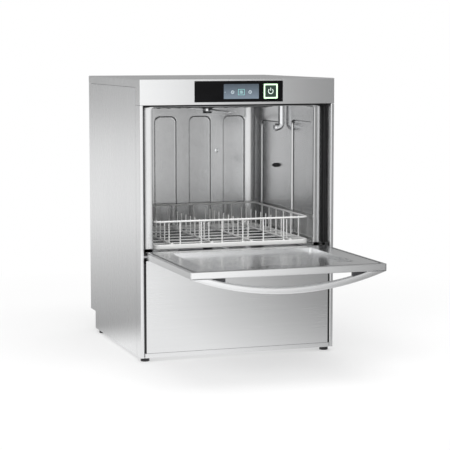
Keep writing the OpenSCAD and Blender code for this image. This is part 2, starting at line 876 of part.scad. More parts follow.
module wash_pump_housing() {
    color(grey_plastic) difference() {
        union() {
            rod_x(pump_r, -volute_w / 2, volute_w / 2, sump_y, pump_z);
            rod_y(feed_r, 0, outlet_front, outlet_back, run_z);
        }
        rod_x(pump_r - 6, -volute_w / 2 + 4, volute_w / 2 - 4, sump_y, pump_z);
        rod_x(suction_r - pipe_t, -volute_w, 0, sump_y, pump_z);
        rod_x(6 + run_fit, 0, volute_w, sump_y, pump_z);
        rod_y(feed_r - pipe_t, 0, outlet_front - 1, outlet_back + 1, run_z);
    }
}

module wash_impeller() {
    color(black_plastic) {
        rod_x(pump_r - 10, -3, 1, sump_y, pump_z);
        rod_x(6, 1, motor_x + 40, sump_y, pump_z);
        intersection() {
            rod_x(pump_r - 10, -12, -3, sump_y, pump_z);
            translate([0, sump_y, pump_z]) for (a = [0:60:300]) rotate([a, 0, 0])
                block([-12, -1.5, 14], [-3, 1.5, pump_r]);
        }
    }
}

module wash_pump_motor() {
    color([0.30, 0.33, 0.36]) difference() {
        union() {
            rod_x(motor_r, motor_x, motor_x + motor_l, sump_y, pump_z);
            for (a = [0:30:330]) translate([motor_x + 20, sump_y, pump_z]) rotate([a, 0, 0])
                block([0, -1.5, 0], [motor_l - 40, 1.5, motor_r + (a > 110 && a < 250 ? -1 : 4)]);
            rod_x(20, volute_w / 2, motor_x, sump_y, pump_z);
        }
        rod_x(6 + run_fit, 0, motor_x + 41, sump_y, pump_z);
    }
}

module pump_pipes() {
    color(black_plastic) {
        difference() {
            union() {
                rod_z(suction_r, suction_x, sump_y, pump_z + suction_bend, sump_h - wall_t);
                bend_xz(suction_x, sump_y, pump_z, 1, 1, suction_bend, suction_r);
                rod_x(suction_r, suction_x + suction_bend, -volute_w / 2, sump_y, pump_z);
            }
            rod_z(suction_r - pipe_t, suction_x, sump_y, pump_z + suction_bend, sump_h + 1);
            bend_xz(suction_x, sump_y, pump_z, 1, 1, suction_bend, suction_r - pipe_t);
            rod_x(suction_r - pipe_t, suction_x + suction_bend, 0, sump_y, pump_z);
        }
        difference() {
            union() {
                rod_y(feed_r, 0, arm_y + bend_r, outlet_front, run_z);
                bend_yz(0, arm_y, run_z, 1, 1, bend_r, feed_r);
                rod_z(feed_r, 0, arm_y, run_z + bend_r, tank_floor_h - wall_t);
            }
            rod_y(feed_r - pipe_t, 0, arm_y + bend_r, outlet_front + 1, run_z);
            bend_yz(0, arm_y, run_z, 1, 1, bend_r, feed_r - pipe_t);
            rod_z(feed_r - pipe_t, 0, arm_y, run_z + bend_r, tank_floor_h);
        }
    }
}

module riser_line(r) {
    rod_y(r, 0, outlet_back, riser_y - bend_r, run_z);
    bend_yz(0, riser_y, run_z, -1, 1, bend_r, r);
    rod_z(r, 0, riser_y, run_z + bend_r, riser_top - bend_r);
    bend_yz(0, riser_y, riser_top, -1, -1, bend_r, r);
    rod_y(r, 0, arm_y + bend_r, riser_y - bend_r, riser_top);
    bend_yz(0, arm_y, riser_top, 1, -1, bend_r, r);
    rod_z(r, 0, arm_y, ceiling_h + chamber_t + 10, riser_top - bend_r);
}

module riser_pipe() {
    color(black_plastic) difference() {
        riser_line(feed_r);
        riser_line(feed_r - pipe_t);
    }
}

module drain_pump() {
    color(grey_plastic) {
        rod_z(drain_pump_r - 6, drain_x, drain_y, base_top, base_top + 62);
        difference() {
            rod_z(drain_pump_r, drain_x, drain_y, base_top + 62, drain_pump_top);
            rod_z(drain_pump_r - 5, drain_x, drain_y, base_top + 66, drain_pump_top - 4);
        }
    }
}

module hoses() {
    color([0.15, 0.15, 0.16]) {
        drain_run();
        fill_run();
        boiler_run();
    }
}

// From the sump to the drain pump, and from its side down to the drain outlet
module drain_run() {
    r = drain_hose_r;
    feed_z = sump_h + 16;
    side_z = drain_pump_top - 17;
    y = recess_y - 30;
    rod_x(r, drain_x + 20, -sump_w / 2 - wall_t, drain_y, feed_z);
    bend_xz(drain_x, drain_y, feed_z, 1, -1, 20, r);
    rod_z(r, drain_x, drain_y, drain_pump_top, feed_z - 20);
    rod_y(r, drain_x, drain_y + drain_pump_r, y - 16, side_z);
    bend_yz(drain_x, y, side_z, -1, -1, 16, r);
    rod_z(r, drain_x, y, outlet_z + 16, side_z - 16);
    bend_yz(drain_x, y, outlet_z, 1, 1, 16, r);
    rod_y(r, drain_x, y + 16, recess_y - sheet_t - 3, outlet_z);
}

// From the fill valve up to the break tank
module fill_run() {
    y = break_y1 + 14;
    z = sump_h;
    rod_z(hose_r, inlet_x, y, outlet_z + 16, z - 14);
    bend_xz(inlet_x, y, z, 1, -1, 14, hose_r);
    rod_x(hose_r, inlet_x + 14, tank_gap_x - 14, y, z);
    bend_xz(tank_gap_x, y, z, -1, 1, 14, hose_r);
    rod_z(hose_r, tank_gap_x, y, z + 14, break_z1 - 40);
    bend_yz(tank_gap_x, y, break_z1 - 26, -1, -1, 14, hose_r);
}

// From the break tank down to the boiler's cold end
module boiler_run() {
    y = break_y0 + 30;
    z = boiler_z - 20;
    rod_z(hose_r, tank_gap_x, y, z + 14, break_z0);
    bend_yz(tank_gap_x, y, z, -1, 1, 14, hose_r);
    rod_y(hose_r, tank_gap_x, boiler_y + 14, y - 14, z);
    translate([tank_gap_x - 14, boiler_y + 14, z]) rotate([0, 0, -90]) bend(14, hose_r);
    rod_x(hose_r, boiler_x + boiler_l + 18, tank_gap_x - 14, boiler_y, z);
}

module drain_outlet() {
    color(black_plastic) difference() {
        union() {
            rod_y(drain_r + 7, drain_x, recess_y - sheet_t - 3, recess_y - sheet_t, outlet_z);
            rod_y(drain_r - neck_step, drain_x, recess_y - sheet_t, recess_y + neck_l, outlet_z);
            rod_y(drain_r, drain_x, recess_y + neck_l, recess_y + drain_l, outlet_z);
        }
        rod_y(drain_r - 3, drain_x, recess_y - 10, recess_y + drain_l + 1, outlet_z);
    }
}

module fill_valve() {
    y0 = recess_y - sheet_t;
    color([0.90, 0.90, 0.86]) difference() {
        union() {
            block([inlet_x - 18, y0 - 38, base_top], [inlet_x + 18, y0, outlet_z + 16]);
            rod_y(inlet_r - neck_step, inlet_x, y0 - 1, recess_y + neck_l, outlet_z);
            rod_y(inlet_r, inlet_x, recess_y + neck_l, recess_y + inlet_l, outlet_z);
        }
        rod_y(8, inlet_x, y0 - 20, recess_y + inlet_l + 1, outlet_z);
    }
}

module break_tank() {
    x0 = chamber_x + chamber_t + channel_d + 2;
    x1 = inner_side - 1;
    color([0.90, 0.92, 0.93]) difference() {
        block([x0, break_y0, break_z0], [x1, break_y1, break_z1]);
        block([x0 + 2, break_y0 + 2, break_z0 + 2], [x1 - 2, break_y1 - 2, break_z1 - 2]);
    }
}

module dosing_pumps() {
    color([0.86, 0.87, 0.88]) for (x = dosing_x) difference() {
        block([x - dosing_w / 2, dosing_y, base_top],
            [x + dosing_w / 2, dosing_y + 56, base_top + dosing_h]);
        rod_y(rotor_r + 3.5, x, dosing_y - 1, dosing_y + 16, rotor_z);
        rod_y(3 + run_fit, x, dosing_y, dosing_y + 40, rotor_z);
    }
}

// A peristaltic rotor: a hub on its shaft, with three rollers on its rim
module rotor(x) {
    rod_y(3, x, dosing_y + 6, dosing_y + 39, rotor_z);
    rod_y(rotor_r - 6, x, dosing_y + 1, dosing_y + 15, rotor_z);
    for (a = [0:120:240]) translate([x, 0, rotor_z]) rotate([0, a, 0])
        rod_y(4, 0, dosing_y + 1, dosing_y + 15, rotor_r - 4);
}

module detergent_rotor() {
    color([0.75, 0.20, 0.15]) rotor(dosing_x[0]);
}

module rinse_aid_rotor() {
    color([0.15, 0.30, 0.70]) rotor(dosing_x[1]);
}

module power_box() {
    x1 = tank_gap_x - hose_r - 12;
    color(grey_plastic) difference() {
        block([power_x, power_front, base_top], [x1, power_back, base_top + power_h]);
        block([power_x + power_wall, power_front + power_wall, base_top + power_wall],
            [x1 - power_wall, power_back - power_wall, base_top + power_h - power_wall]);
    }
}

module cable_gland() {
    y0 = recess_y - sheet_t;
    color(black_plastic) difference() {
        union() {
            rod_y(12, gland_x, y0 - 6, y0, outlet_z);
            rod_y(8, gland_x, y0, recess_y, outlet_z);
            rod_y(12, gland_x, recess_y, recess_y + 16, outlet_z);
            rod_y(9, gland_x, recess_y + 16, recess_y + 26, outlet_z);
        }
        rod_y(gland_bore, gland_x, y0 - 10, recess_y + 30, outlet_z);
    }
}

// ---- door, open ----

module hinge_arms() {
    color([0.55, 0.56, 0.58]) both_sides() {
        rod_x(hinge_r, door_x - 16, arm_x, hinge_y, hinge_z);
        translate([arm_x, hinge_y, hinge_z]) rotate([45, 0, 0]) along_x(0, hinge_arm_t) union() {
            translate([0, -5]) square([hinge_arm_l, 10]);
            circle(5);
            translate([hinge_arm_l, 0]) circle(5);
        }
        rod_x(2.5, side - 20, arm_x, hinge_y + arm_end, hinge_z + arm_end);
    }
}

module door_springs() {
    x = side - 20;
    y = hinge_y + arm_end;
    z1 = hinge_z + arm_end - 2.5 - close_fit;
    color([0.55, 0.56, 0.58]) both_sides() {
        difference() {
            rod_z(8, x, y, base_top + 60, z1 - 24);
            rod_z(6, x, y, base_top + 61, z1 - 25);
        }
        rod_z(1.5, x, y, base_top, base_top + 60);
        rod_z(1.5, x, y, z1 - 24, z1);
    }
}

module door_solid() {
    intersection() {
        along_x(-door_x, door_x) rounded([door_front, door_z], [door_rear, door_top], door_skin_r);
        along_y(door_front, door_rear)
            rounded([-door_x, door_z], [door_x, door_top], door_skin_r);
        linear_extrude(door_top)
            rounded([-door_x, door_front], [door_x, door_rear + door_corner_r], door_corner_r);
    }
}

module door_outer_panel() {
    t = door_sheet;
    color(steel) difference() {
        door_solid();
        block([-door_x + t, door_front + t, door_z + t], [door_x - t, door_rear - t, door_top - t]);
        block([-door_x + door_rim_w, door_front + door_rim_w, door_z + t],
            [door_x - door_rim_w, door_rear - door_heel + close_fit, door_top + 1]);
        rod_x(hinge_r, -case_w, case_w, hinge_y, hinge_z);
    }
}

module door_inner_panel() {
    t = door_sheet;
    x0 = door_x - door_rim_w - door_groove_w;
    y0 = door_front + door_rim_w + door_groove_w;
    y1 = door_rear - door_heel;
    pan = door_top - door_pan_d - t;
    b = door_border_w;
    slot_y = y0 + 22;
    color(bright_steel) difference() {
        union() {
            linear_extrude(door_top) rounded([-x0, y0], [x0, y1], 10);
            block([-door_x + t, door_front + t, pan - t], [door_x - t, y1, pan]);
        }
        block([-case_w, -2 * case_w, -1], [case_w, case_w, pan - t]);
        difference() {
            translate([0, 0, pan - t - 1]) linear_extrude(door_top - t - pan + t + 1)
                rounded([-x0 + t, y0 + t], [x0 - t, y1 - t], 8.5);
            block([-x0 + b - t, y0 + b - t, pan - 2 * t], [x0 - b + t, y1 - 30 + t, door_top]);
        }
        translate([0, 0, pan]) linear_extrude(door_top)
            rounded([-x0 + b, y0 + b], [x0 - b, y1 - 30], 8);
        for (n = [0:door_slots - 1])
            translate([(n - (door_slots - 1) / 2) * 24 - 8, slot_y, door_top - 3]) cube([16, 10, 10]);
    }
}

module door_handle() {
    span = asin(door_x / handle_r) + 1;
    mid_r = handle_r - handle_bar / 2;
    color(bright_steel) intersection() {
        translate([0, handle_y + handle_d / 2, handle_z]) rotate([90, 0, 0])
            rotate([0, 0, 270 - span]) rotate_extrude(angle = 2 * span, $fn = 180)
                rounded([mid_r - handle_bar / 2, -handle_d / 2], [mid_r + handle_bar / 2, handle_d / 2], 6);
        block([-door_x + 1, 2 * door_front, 0], [door_x - 1, 0, door_z]);
    }
}

module handle_fillers() {
    y1 = handle_y + handle_d - 2;
    color([0.20, 0.20, 0.22]) both_sides() intersection() {
        difference() {
            block([filler_x, handle_y + 8, door_z - handle_sag], [door_x, y1, door_z]);
            difference() {
                block([0, 2 * door_front, -1], [case_w, 0, door_z + 1]);
                translate([0, y1 + 1, handle_z]) rotate([90, 0, 0])
                    cylinder(r = handle_r - handle_bar, h = handle_d + 2, $fn = 720);
            }
        }
        block([filler_x, 2 * door_front, 0], [door_x, 0, door_z]);
    }
}

// ---- rack ----

module rack_ring(r_out, z0, z1, w) {
    translate([0, 0, z0]) linear_extrude(z1 - z0) difference() {
        rounded([-rack_x, rack_front], [rack_x, rack_back], r_out);
        rounded([-rack_x + w, rack_front + w], [rack_x - w, rack_back - w], r_out - w);
    }
}

module rack_base() {
    x1 = rack_x - rack_rail_w / 2;
    color(white_coat) {
        rack_ring(rack_r, rack_z, rack_z + rack_rail_h, rack_rail_w);
        for (y = [rack_front + 70 : 70 : rack_back - 50]) rod_x(wire_r, -x1, x1, y, grid_z);
    }
}

// Upright wire places along a side of that half length, centred on it
function uprights(half) = let (n = floor((half - rack_r) / upright_pitch - 0.5))
    [for (k = [-n - 1 : n]) (k + 0.5) * upright_pitch];

module rack_sides() {
    mid_y = (rack_front + rack_back) / 2;
    z0 = rack_z + rack_rail_h;
    z1 = rim_z - rim_wire_r - close_fit;
    in = rim_wire_r + 1;
    wire_x = rack_x - in;
    wire_y = (rack_back - rack_front) / 2 - in;
    color(white_coat) {
        for (s = [-1, 1]) {
            for (u = uprights(mid_y - rack_front)) rod_z(wire_r, s * wire_x, mid_y + u, z0, z1);
            for (u = uprights(rack_x)) rod_z(wire_r, u, mid_y + s * wire_y, z0, z1);
            rod_y(rim_wire_r, s * wire_x, rack_front + rack_r, rack_back - rack_r, rim_z);
            rod_x(rim_wire_r, -rack_x + rack_r, rack_x - rack_r, mid_y + s * wire_y, rim_z);
            for (t = [-1, 1])
                translate([s * (rack_x - rack_r), mid_y + t * (wire_y + in - rack_r), rim_z])
                    rotate([0, 0, s > 0 ? (t > 0 ? 0 : -90) : (t > 0 ? 90 : 180)])
                        rotate_extrude(angle = 90) translate([rack_r - in, 0]) circle(rim_wire_r);
        }
    }
}

module rack_pins() {
    z = grid_z + wire_r + rim_wire_r;
    color(white_coat) for (x = pin_rows) {
        rod_y(rim_wire_r, x, rack_front + rack_rail_w, rack_back - rack_rail_w, z);
        for (y = [rack_front + 40 : pin_pitch : rack_back - 30]) rod_z(wire_r, x, y, z, z + pin_h);
    }
}

// ---- feet ----

// A foot's place front to back: 0 is a front foot and 1 is a rear foot
function foot_y(n) = n == 0 ? front + 26 : recess_y - 26;

module foot(s, n) {
    x = s * (side - foot_inset);
    y = foot_y(n);
    color(black_plastic) {
        rod_z(foot_r, x, y, 0, foot_h - 2);
        rod_z(foot_r - 3, x, y, foot_h - 2, foot_h);
        rod_z(foot_stem_r, x, y, foot_h, foot_h + foot_stem_l);
    }
}

module front_left_foot() {
    foot(-1, 0);
}

module front_right_foot() {
    foot(1, 0);
}

module rear_left_foot() {
    foot(-1, 1);
}

module rear_right_foot() {
    foot(1, 1);
}

top_cover();
display_glass();
touch_screen();
start_ring();
start_button();
display_housing();
control_board();
left_side_panel();
right_side_panel();
rear_panel();
base_tray();
front_posts();
hinge_bushes();
lower_front_panel();
side_seals();
door_gasket();
chamber_shell();
wash_tank();
support_brackets();
rack_rails();
tank_strainers();
filter_basket();
arm_posts();
arm_nuts();
fill_spout();
wall_fittings();
heating_elements();
boiler();
wash_pump_housing();
wash_pump_motor();
wash_impeller();
pump_pipes();
riser_pipe();
drain_pump();
hoses();
drain_outlet();
fill_valve();
break_tank();
dosing_pumps();
detergent_rotor();
rinse_aid_rotor();
power_box();
cable_gland();
lower_wash_arm();
lower_rinse_arm();
upper_wash_arm();
upper_rinse_arm();
hinge_arms();
door_springs();
door_outer_panel();
door_inner_panel();
door_handle();
handle_fillers();
rack_base();
rack_sides();
rack_pins();
front_left_foot();
front_right_foot();
rear_left_foot();
rear_right_foot();
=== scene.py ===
"""An undercounter warewasher with its door open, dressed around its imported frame.

Sheet metal, moulded parts and wire are finished here: brushed and bright steel, the pressed
chamber, the lit display, the wire rack, the arms, the hoses and the springs.
"""

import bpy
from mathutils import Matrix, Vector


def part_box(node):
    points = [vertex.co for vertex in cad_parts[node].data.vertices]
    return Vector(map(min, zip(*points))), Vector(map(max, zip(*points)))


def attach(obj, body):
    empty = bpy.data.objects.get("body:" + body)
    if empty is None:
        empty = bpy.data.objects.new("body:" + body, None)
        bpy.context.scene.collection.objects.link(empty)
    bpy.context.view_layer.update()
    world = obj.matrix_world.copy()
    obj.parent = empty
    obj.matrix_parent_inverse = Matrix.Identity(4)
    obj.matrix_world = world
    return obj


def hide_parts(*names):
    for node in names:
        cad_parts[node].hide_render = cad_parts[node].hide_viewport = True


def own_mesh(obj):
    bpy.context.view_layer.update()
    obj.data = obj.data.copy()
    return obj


bl_info = {
    "name": "Undercounter warewasher",
    "version": (1, 0, 0),
    "blender": (4, 5, 0),
    "location": "View3D > Sidebar > Warewasher",
    "description": "Finishes an undercounter warewasher around its packed frame",
    "category": "Add Mesh",
}

from math import acos, cos, pi, radians, sin

import bmesh
import bpy
import numpy as np
from mathutils import Matrix, Vector

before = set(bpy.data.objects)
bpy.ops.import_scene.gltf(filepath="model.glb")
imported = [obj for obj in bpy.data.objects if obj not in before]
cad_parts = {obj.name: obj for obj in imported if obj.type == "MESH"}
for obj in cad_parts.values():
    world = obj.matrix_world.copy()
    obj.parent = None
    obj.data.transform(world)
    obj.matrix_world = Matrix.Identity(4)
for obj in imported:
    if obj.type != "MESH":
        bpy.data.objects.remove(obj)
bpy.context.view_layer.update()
MM = 0.001
WHITE = (1.0, 1.0, 1.0, 1.0)


# ---- sizes and colours a user would change ----


def length(name, description, default):
    return bpy.props.FloatProperty(
        name=name, description=description, default=default, min=0.0, unit="LENGTH", precision=4
    )


def colour(name, description, default):
    return bpy.props.FloatVectorProperty(
        name=name, description=description, default=default, min=0.0, max=1.0, size=3,
        subtype="COLOR",
    )


class WasherSizes(bpy.types.PropertyGroup):
    channel_w: length("Channel width", "Width of a pressed channel in the back wall", 76 * MM)
    channel_pitch: length("Channel pitch", "Spacing of the back wall's channels", 117 * MM)
    channel_d: length("Channel depth", "How far the channels are pressed outwards", 5 * MM)
    channel_top: length("Channel top", "Height of the channels' upper ends", 689 * MM)
    channel_foot: length("Channel foot", "Height of the channels' lower ends", 324 * MM)
    chamber_r: length("Corner radius", "Radius of the chamber's rear corners", 40 * MM)
    sheet_t: length("Sheet", "Thickness of the chamber sheet", 1.5 * MM)
    wire_r: length("Thin wire", "Radius of the rack's thin wires", 2 * MM)
    rim_wire_r: length("Rim wire", "Radius of the rack's rim wire", 3 * MM)
    pin_pitch: length("Pin pitch", "Spacing of the plate pins", 46 * MM)
    spring_r: length("Spring radius", "Radius of the door springs' coils", 7.2 * MM)
    spring_wire_r: length("Spring wire", "Radius of the door springs' wire", 1 * MM)


class WasherColours(bpy.types.PropertyGroup):
    casing: colour("Casing steel", "Brushed steel of the casing", (0.78, 0.785, 0.79))
    chamber: colour("Chamber steel", "Bright steel of the chamber", (0.86, 0.865, 0.87))
    coat: colour("Rack coating", "Nylon coating of the rack", (0.90, 0.90, 0.89))
    screen: colour("Screen", "Touch screen's background", (0.050, 0.062, 0.075))
    ring: colour("Light ring", "Lit frame of the start button", (0.62, 0.93, 0.60))


class StageSizes(bpy.types.PropertyGroup):
    lens: bpy.props.FloatProperty(
        name="Lens", description="Focal length of the camera, in mm", default=126.87, min=1.0
    )
    pitch: bpy.props.FloatProperty(
        name="Pitch", description="How far the camera looks down", default=radians(6.353),
        subtype="ANGLE",
    )
    yaw: bpy.props.FloatProperty(
        name="Yaw", description="Turn of the camera to its right", default=radians(18.693),
        subtype="ANGLE",
    )
    eye: bpy.props.FloatVectorProperty(
        name="Eye", description="Place of the camera", default=(-1.5215, -4.6706, 0.9067),
        size=3, subtype="TRANSLATION",
    )
    world: bpy.props.FloatProperty(
        name="World", description="Brightness of the surrounding light", default=0.72, min=0.0
    )


# ---- shader maths ----


def operator(name, flip=False):
    def apply(self, other):
        pair = (other, self) if flip else (self, other)
        return self.net.node("ShaderNodeMath", {"operation": name}, pair)

    return apply


class Value:
    """An output socket. Arithmetic on it adds Math nodes, and gives another Value."""

    def __init__(self, net, socket):
        self.net = net
        self.socket = socket

    __add__ = operator("ADD")
    __radd__ = operator("ADD", True)
    __sub__ = operator("SUBTRACT")
    __rsub__ = operator("SUBTRACT", True)
    __mul__ = operator("MULTIPLY")
    __rmul__ = operator("MULTIPLY", True)
    __truediv__ = operator("DIVIDE")
    __pow__ = operator("POWER")
    __gt__ = operator("GREATER_THAN")

    def clamped(self):
        return self.net.node("ShaderNodeClamp", {}, (self,))


class Net:
    """A node tree that is built by calls."""

    def __init__(self, tree):
        self.tree = tree
        tree.nodes.clear()

    def node(self, kind, settings=(), inputs=(), out=0):
        """One node: its settings are set first, then its sockets by index or by name."""
        made = self.tree.nodes.new(kind)
        for key, setting in dict(settings).items():
            if key == "stops":
                self.stops(made.color_ramp, setting)
            else:
                setattr(made, key, setting)
        pairs = inputs.items() if isinstance(inputs, dict) else enumerate(inputs)
        for key, value in pairs:
            if isinstance(value, Value):
                self.tree.links.new(value.socket, made.inputs[key])
            elif value is not None:
                made.inputs[key].default_value = value
        return Value(self, made.outputs[out]) if made.outputs else made

    @staticmethod
    def stops(ramp, stops):
        while len(ramp.elements) < len(stops):
            ramp.elements.new(1.0)
        for element, (place, shade) in zip(ramp.elements, stops):
            element.position = place
            element.color = (shade, shade, shade, 1.0) if isinstance(shade, float) else (*shade, 1.0)

    def place(self, scale=(1.0, 1.0, 1.0), shift=(0.0, 0.0, 0.0)):
        """Object coordinates, scaled along each axis."""
        spot = self.node("ShaderNodeTexCoord", out="Object")
        return self.node("ShaderNodeMapping", {}, {"Vector": spot, "Scale": scale, "Location": shift})

    def noise(self, vector, scale=1.0, detail=2.0, rough=0.5):
        return self.node(
            "ShaderNodeTexNoise", {},
            {"Vector": vector, "Scale": scale, "Detail": detail, "Roughness": rough},
        )

    def mix(self, factor, low, high):
        """A colour between two colours."""
        return self.node(
            "ShaderNodeMix", {"data_type": "RGBA"},
            {0: factor, 6: rgba(low), 7: rgba(high)}, out=2,
        )

    def axis(self, vector, n):
        """The x, y or z of a vector, by n."""
        return self.node("ShaderNodeSeparateXYZ", {}, (vector,), out=n)

    def ramp(self, stops, factor):
        return self.node("ShaderNodeValToRGB", {"stops": stops}, (factor,))

    def bump(self, height, distance, strength=1.0):
        return self.node(
            "ShaderNodeBump", {}, {"Strength": strength, "Distance": distance, "Height": height}
        )


def rgba(shade):
    return shade if isinstance(shade, Value) else (*shade[:3], 1.0)


def scaled(shade, factor):
    return tuple(min(1.0, channel * factor) for channel in shade)


FINISHES = {}


def finish(name, build):
    """The material of that name, made once. build(net) gives the Principled shader's sockets."""
    if name not in FINISHES:
        made = bpy.data.materials.new(name)
        made.use_nodes = True
        net = Net(made.node_tree)
        surface = net.node("ShaderNodeBsdfPrincipled", {}, build(net))
        net.node("ShaderNodeOutputMaterial", {}, {"Surface": surface})
        FINISHES[name] = made
    return FINISHES[name]


def brushed(shade, rough, grain, wear=0.05):
    """Brushed steel: fine scratches along the grain axis, cloudy polish and faint smears."""
    def build(net):
        across = [620.0, 620.0, 620.0]
        across["xyz".index(grain)] = 5.0
        scratch = net.noise(net.place(across), 1.0, 3.0, 0.6)
        broad = net.noise(net.place([value * 0.16 for value in across]), 1.0, 2.0)
        cloud = net.noise(net.place(), 5.0, 3.0)
        tone = (scratch * 0.5 + broad * 0.3 + cloud * 0.2).clamped()
        return {
            "Base Color": net.mix(tone, scaled(shade, 0.93), scaled(shade, 1.05)),
            "Metallic": 1.0,
            "Roughness": (scratch * 0.08 + cloud * wear + (rough - 0.06)).clamped(),
            "Normal": net.bump(scratch * 0.8 + broad * 0.2, 0.00002, 0.2),
        }
    return build


def bright(shade, rough):
    """Bright annealed steel: soft waves in the sheet, light scale marks and no grain."""
    def build(net):
        wave = net.noise(net.place(), 7.0, 1.0)
        haze = net.noise(net.place(), 38.0, 4.0, 0.6)
        scale = net.noise(net.place((60.0, 60.0, 8.0)), 1.0, 3.0)
        return {
            "Base Color": net.mix(haze, scaled(shade, 0.93), scaled(shade, 1.04)),
            "Metallic": 1.0,
            "Roughness": (haze * 0.10 + scale * 0.06 + (rough - 0.06)).clamped(),
            "Normal": net.bump(wave, 0.0035, 0.35),
        }
    return build


def plastic(shade, rough, speckle=0.06, grain=900.0, depth=0.00003, **fixed):
    """Moulded plastic with a fine texture and a slight change of tone."""
    def build(net):
        skin = net.noise(net.place(), grain, 2.0)
        tone = net.noise(net.place(), 14.0, 3.0)
        sockets = {
            "Base Color": net.mix(tone, scaled(shade, 1.0 - speckle), scaled(shade, 1.0 + speckle)),
            "Roughness": (skin * 0.08 + tone * 0.06 + (rough - 0.07)).clamped(),
            "Normal": net.bump(skin, depth, 0.4),
        }
        return sockets | fixed
    return build


def glass_black(net):
    """Printed black glass with faint finger smears."""
    smear = net.noise(net.place((9.0, 9.0, 30.0)), 1.0, 4.0, 0.6)
    return {
        "Base Color": net.mix(smear, (0.002, 0.002, 0.002), (0.006, 0.006, 0.007)),
        "Roughness": (smear * 0.10 + 0.05).clamped(),
        "Specular IOR Level": 0.09,
    }


def lit(shade, strength, rough=0.25):
    """A light guide or screen: its own colour with a soft glow of the same colour."""
    def build(net):
        glow = net.noise(net.place(), 55.0, 2.0)
        tone = net.mix(glow, scaled(shade, 0.88), scaled(shade, 1.08))
        return {
            "Base Color": tone,
            "Emission Color": tone,
            "Emission Strength": strength,
            "Roughness": (glow * 0.1 + rough).clamped(),
        }
    return build


def screen_glass(shade):
    """The touch screen: slate, lighter towards its lower edge, under clear glass."""
    def build(net):
        low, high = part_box("touch_screen")
        lift = ((high.z - net.axis(net.place(), 2)) / (high.z - low.z)).clamped()
        grid = net.noise(net.place(), 160.0, 1.0)
        tone = net.mix((lift * 0.85 + grid * 0.15).clamped(), shade, scaled(shade, 3.2))
        return {
            "Base Color": tone,
            "Emission Color": tone,
            "Emission Strength": 0.35,
            "Roughness": (grid * 0.05 + 0.08).clamped(),
            "Specular IOR Level": 0.12,
        }
    return build


def circuit(net):
    """Solder mask with copper tracks that show through it."""
    tracks = net.node(
        "ShaderNodeTexBrick", {}, {"Vector": net.place((90.0, 90.0, 90.0)), "Scale": 1.0}, out=1
    )
    return {
        "Base Color": net.mix(tracks, (0.02, 0.16, 0.07), (0.05, 0.30, 0.14)),
        "Roughness": (tracks * 0.2 + 0.3).clamped(),
        "Normal": net.bump(tracks, 0.0001, 0.4),
    }


def heat_tint(net):
    """Heater sheath: steel that heat has turned straw and grey."""
    tint = net.noise(net.place(), 26.0, 3.0)
    return {
        "Base Color": net.mix(tint, (0.40, 0.33, 0.24), (0.48, 0.47, 0.46)),
        "Metallic": 1.0,
        "Roughness": (tint * 0.25 + 0.30).clamped(),
    }


def finishes():
    """Every material, by the name of the finish."""
    shades = bpy.context.scene.washer_colours
    casing = tuple(shades.casing)
    return {
        "casing_wide": brushed(casing, 0.25, "x"),
        "casing_tall": brushed(casing, 0.27, "z"),
        "casing_deep": brushed(casing, 0.28, "y"),
        "handle": brushed(scaled(casing, 1.05), 0.27, "x"),
        # The chamber's steel is taken at 0.78 of its colour: painted shade for the dim inside of the
        # chamber.
        "chamber": bright(scaled(shades.chamber, 0.78), 0.22),
        "satin": brushed(tuple(shades.chamber), 0.24, "x"),
        "bare": brushed((0.52, 0.52, 0.53), 0.38, "y", 0.12),
        "glass_black": glass_black,
        "screen": screen_glass(tuple(shades.screen)),
        "ring": lit(tuple(shades.ring), 0.9),
        "icon": lit((0.62, 0.72, 0.76), 0.5),
        "icon_teal": lit((0.22, 0.50, 0.48), 0.5),
        "icon_tile": lit((0.32, 0.55, 0.55), 0.5),
        "sign": lit((0.80, 0.95, 0.85), 0.6),
        "pipe": bright((0.80, 0.81, 0.82), 0.16),
        "button": plastic((0.010, 0.035, 0.022), 0.14, 0.1, 300.0, 0.00001, **{"Coat Weight": 0.8}),
        "grey": plastic((0.30, 0.31, 0.33), 0.42),
        "arm": plastic((0.055, 0.057, 0.060), 0.36),
        "dark": plastic((0.045, 0.045, 0.050), 0.40),
        "black": plastic((0.012, 0.012, 0.013), 0.42),
        "milky": plastic((0.80, 0.83, 0.85), 0.30),
        "ivory": plastic((0.78, 0.78, 0.72), 0.40),
        "red": plastic((0.55, 0.05, 0.03), 0.35),
        "blue": plastic((0.03, 0.09, 0.45), 0.35),
        "coat": plastic(tuple(shades.coat), 0.30, 0.02, 500.0, 0.00004),
        "rubber": plastic((0.014, 0.014, 0.015), 0.62, 0.15, 420.0, 0.00012),
        "hose": plastic((0.020, 0.020, 0.022), 0.50, 0.12, 260.0, 0.0002),
        "board": circuit,
        "motor": plastic((0.10, 0.125, 0.15), 0.38, 0.08, 260.0, 0.00008),
        "heater": heat_tint,
    }


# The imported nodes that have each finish
CAD_FINISH = {
    "casing_wide": "top_cover lower_front_panel base_tray door_outer_panel rear_panel",
    "casing_tall": "left_side_panel right_side_panel front_posts support_brackets",
    "chamber": "wash_tank chamber_shell",
    "satin": "door_inner_panel rack_rails tank_strainers boiler lower_rinse_arm upper_rinse_arm",
    "handle": "door_handle",
    "bare": "hinge_arms door_springs",
    "glass_black": "display_glass",
    "screen": "touch_screen",
    "ring": "start_ring",
    "button": "start_button",
    "grey": "display_housing wash_pump_housing drain_pump power_box filter_basket",
    "arm": "arm_posts arm_nuts lower_wash_arm upper_wash_arm",
    "dark": "handle_fillers",
    "black": "hinge_bushes wall_fittings wash_impeller drain_outlet cable_gland front_left_foot "
             "front_right_foot rear_left_foot rear_right_foot",
    "milky": "fill_spout break_tank dosing_pumps",
    "ivory": "fill_valve",
    "red": "detergent_rotor",
    "blue": "rinse_aid_rotor",
    "coat": "rack_base rack_sides rack_pins",
    "rubber": "side_seals door_gasket",
    "hose": "pump_pipes riser_pipe hoses",
    "board": "control_board",
    "motor": "wash_pump_motor",
    "heater": "heating_elements",
}


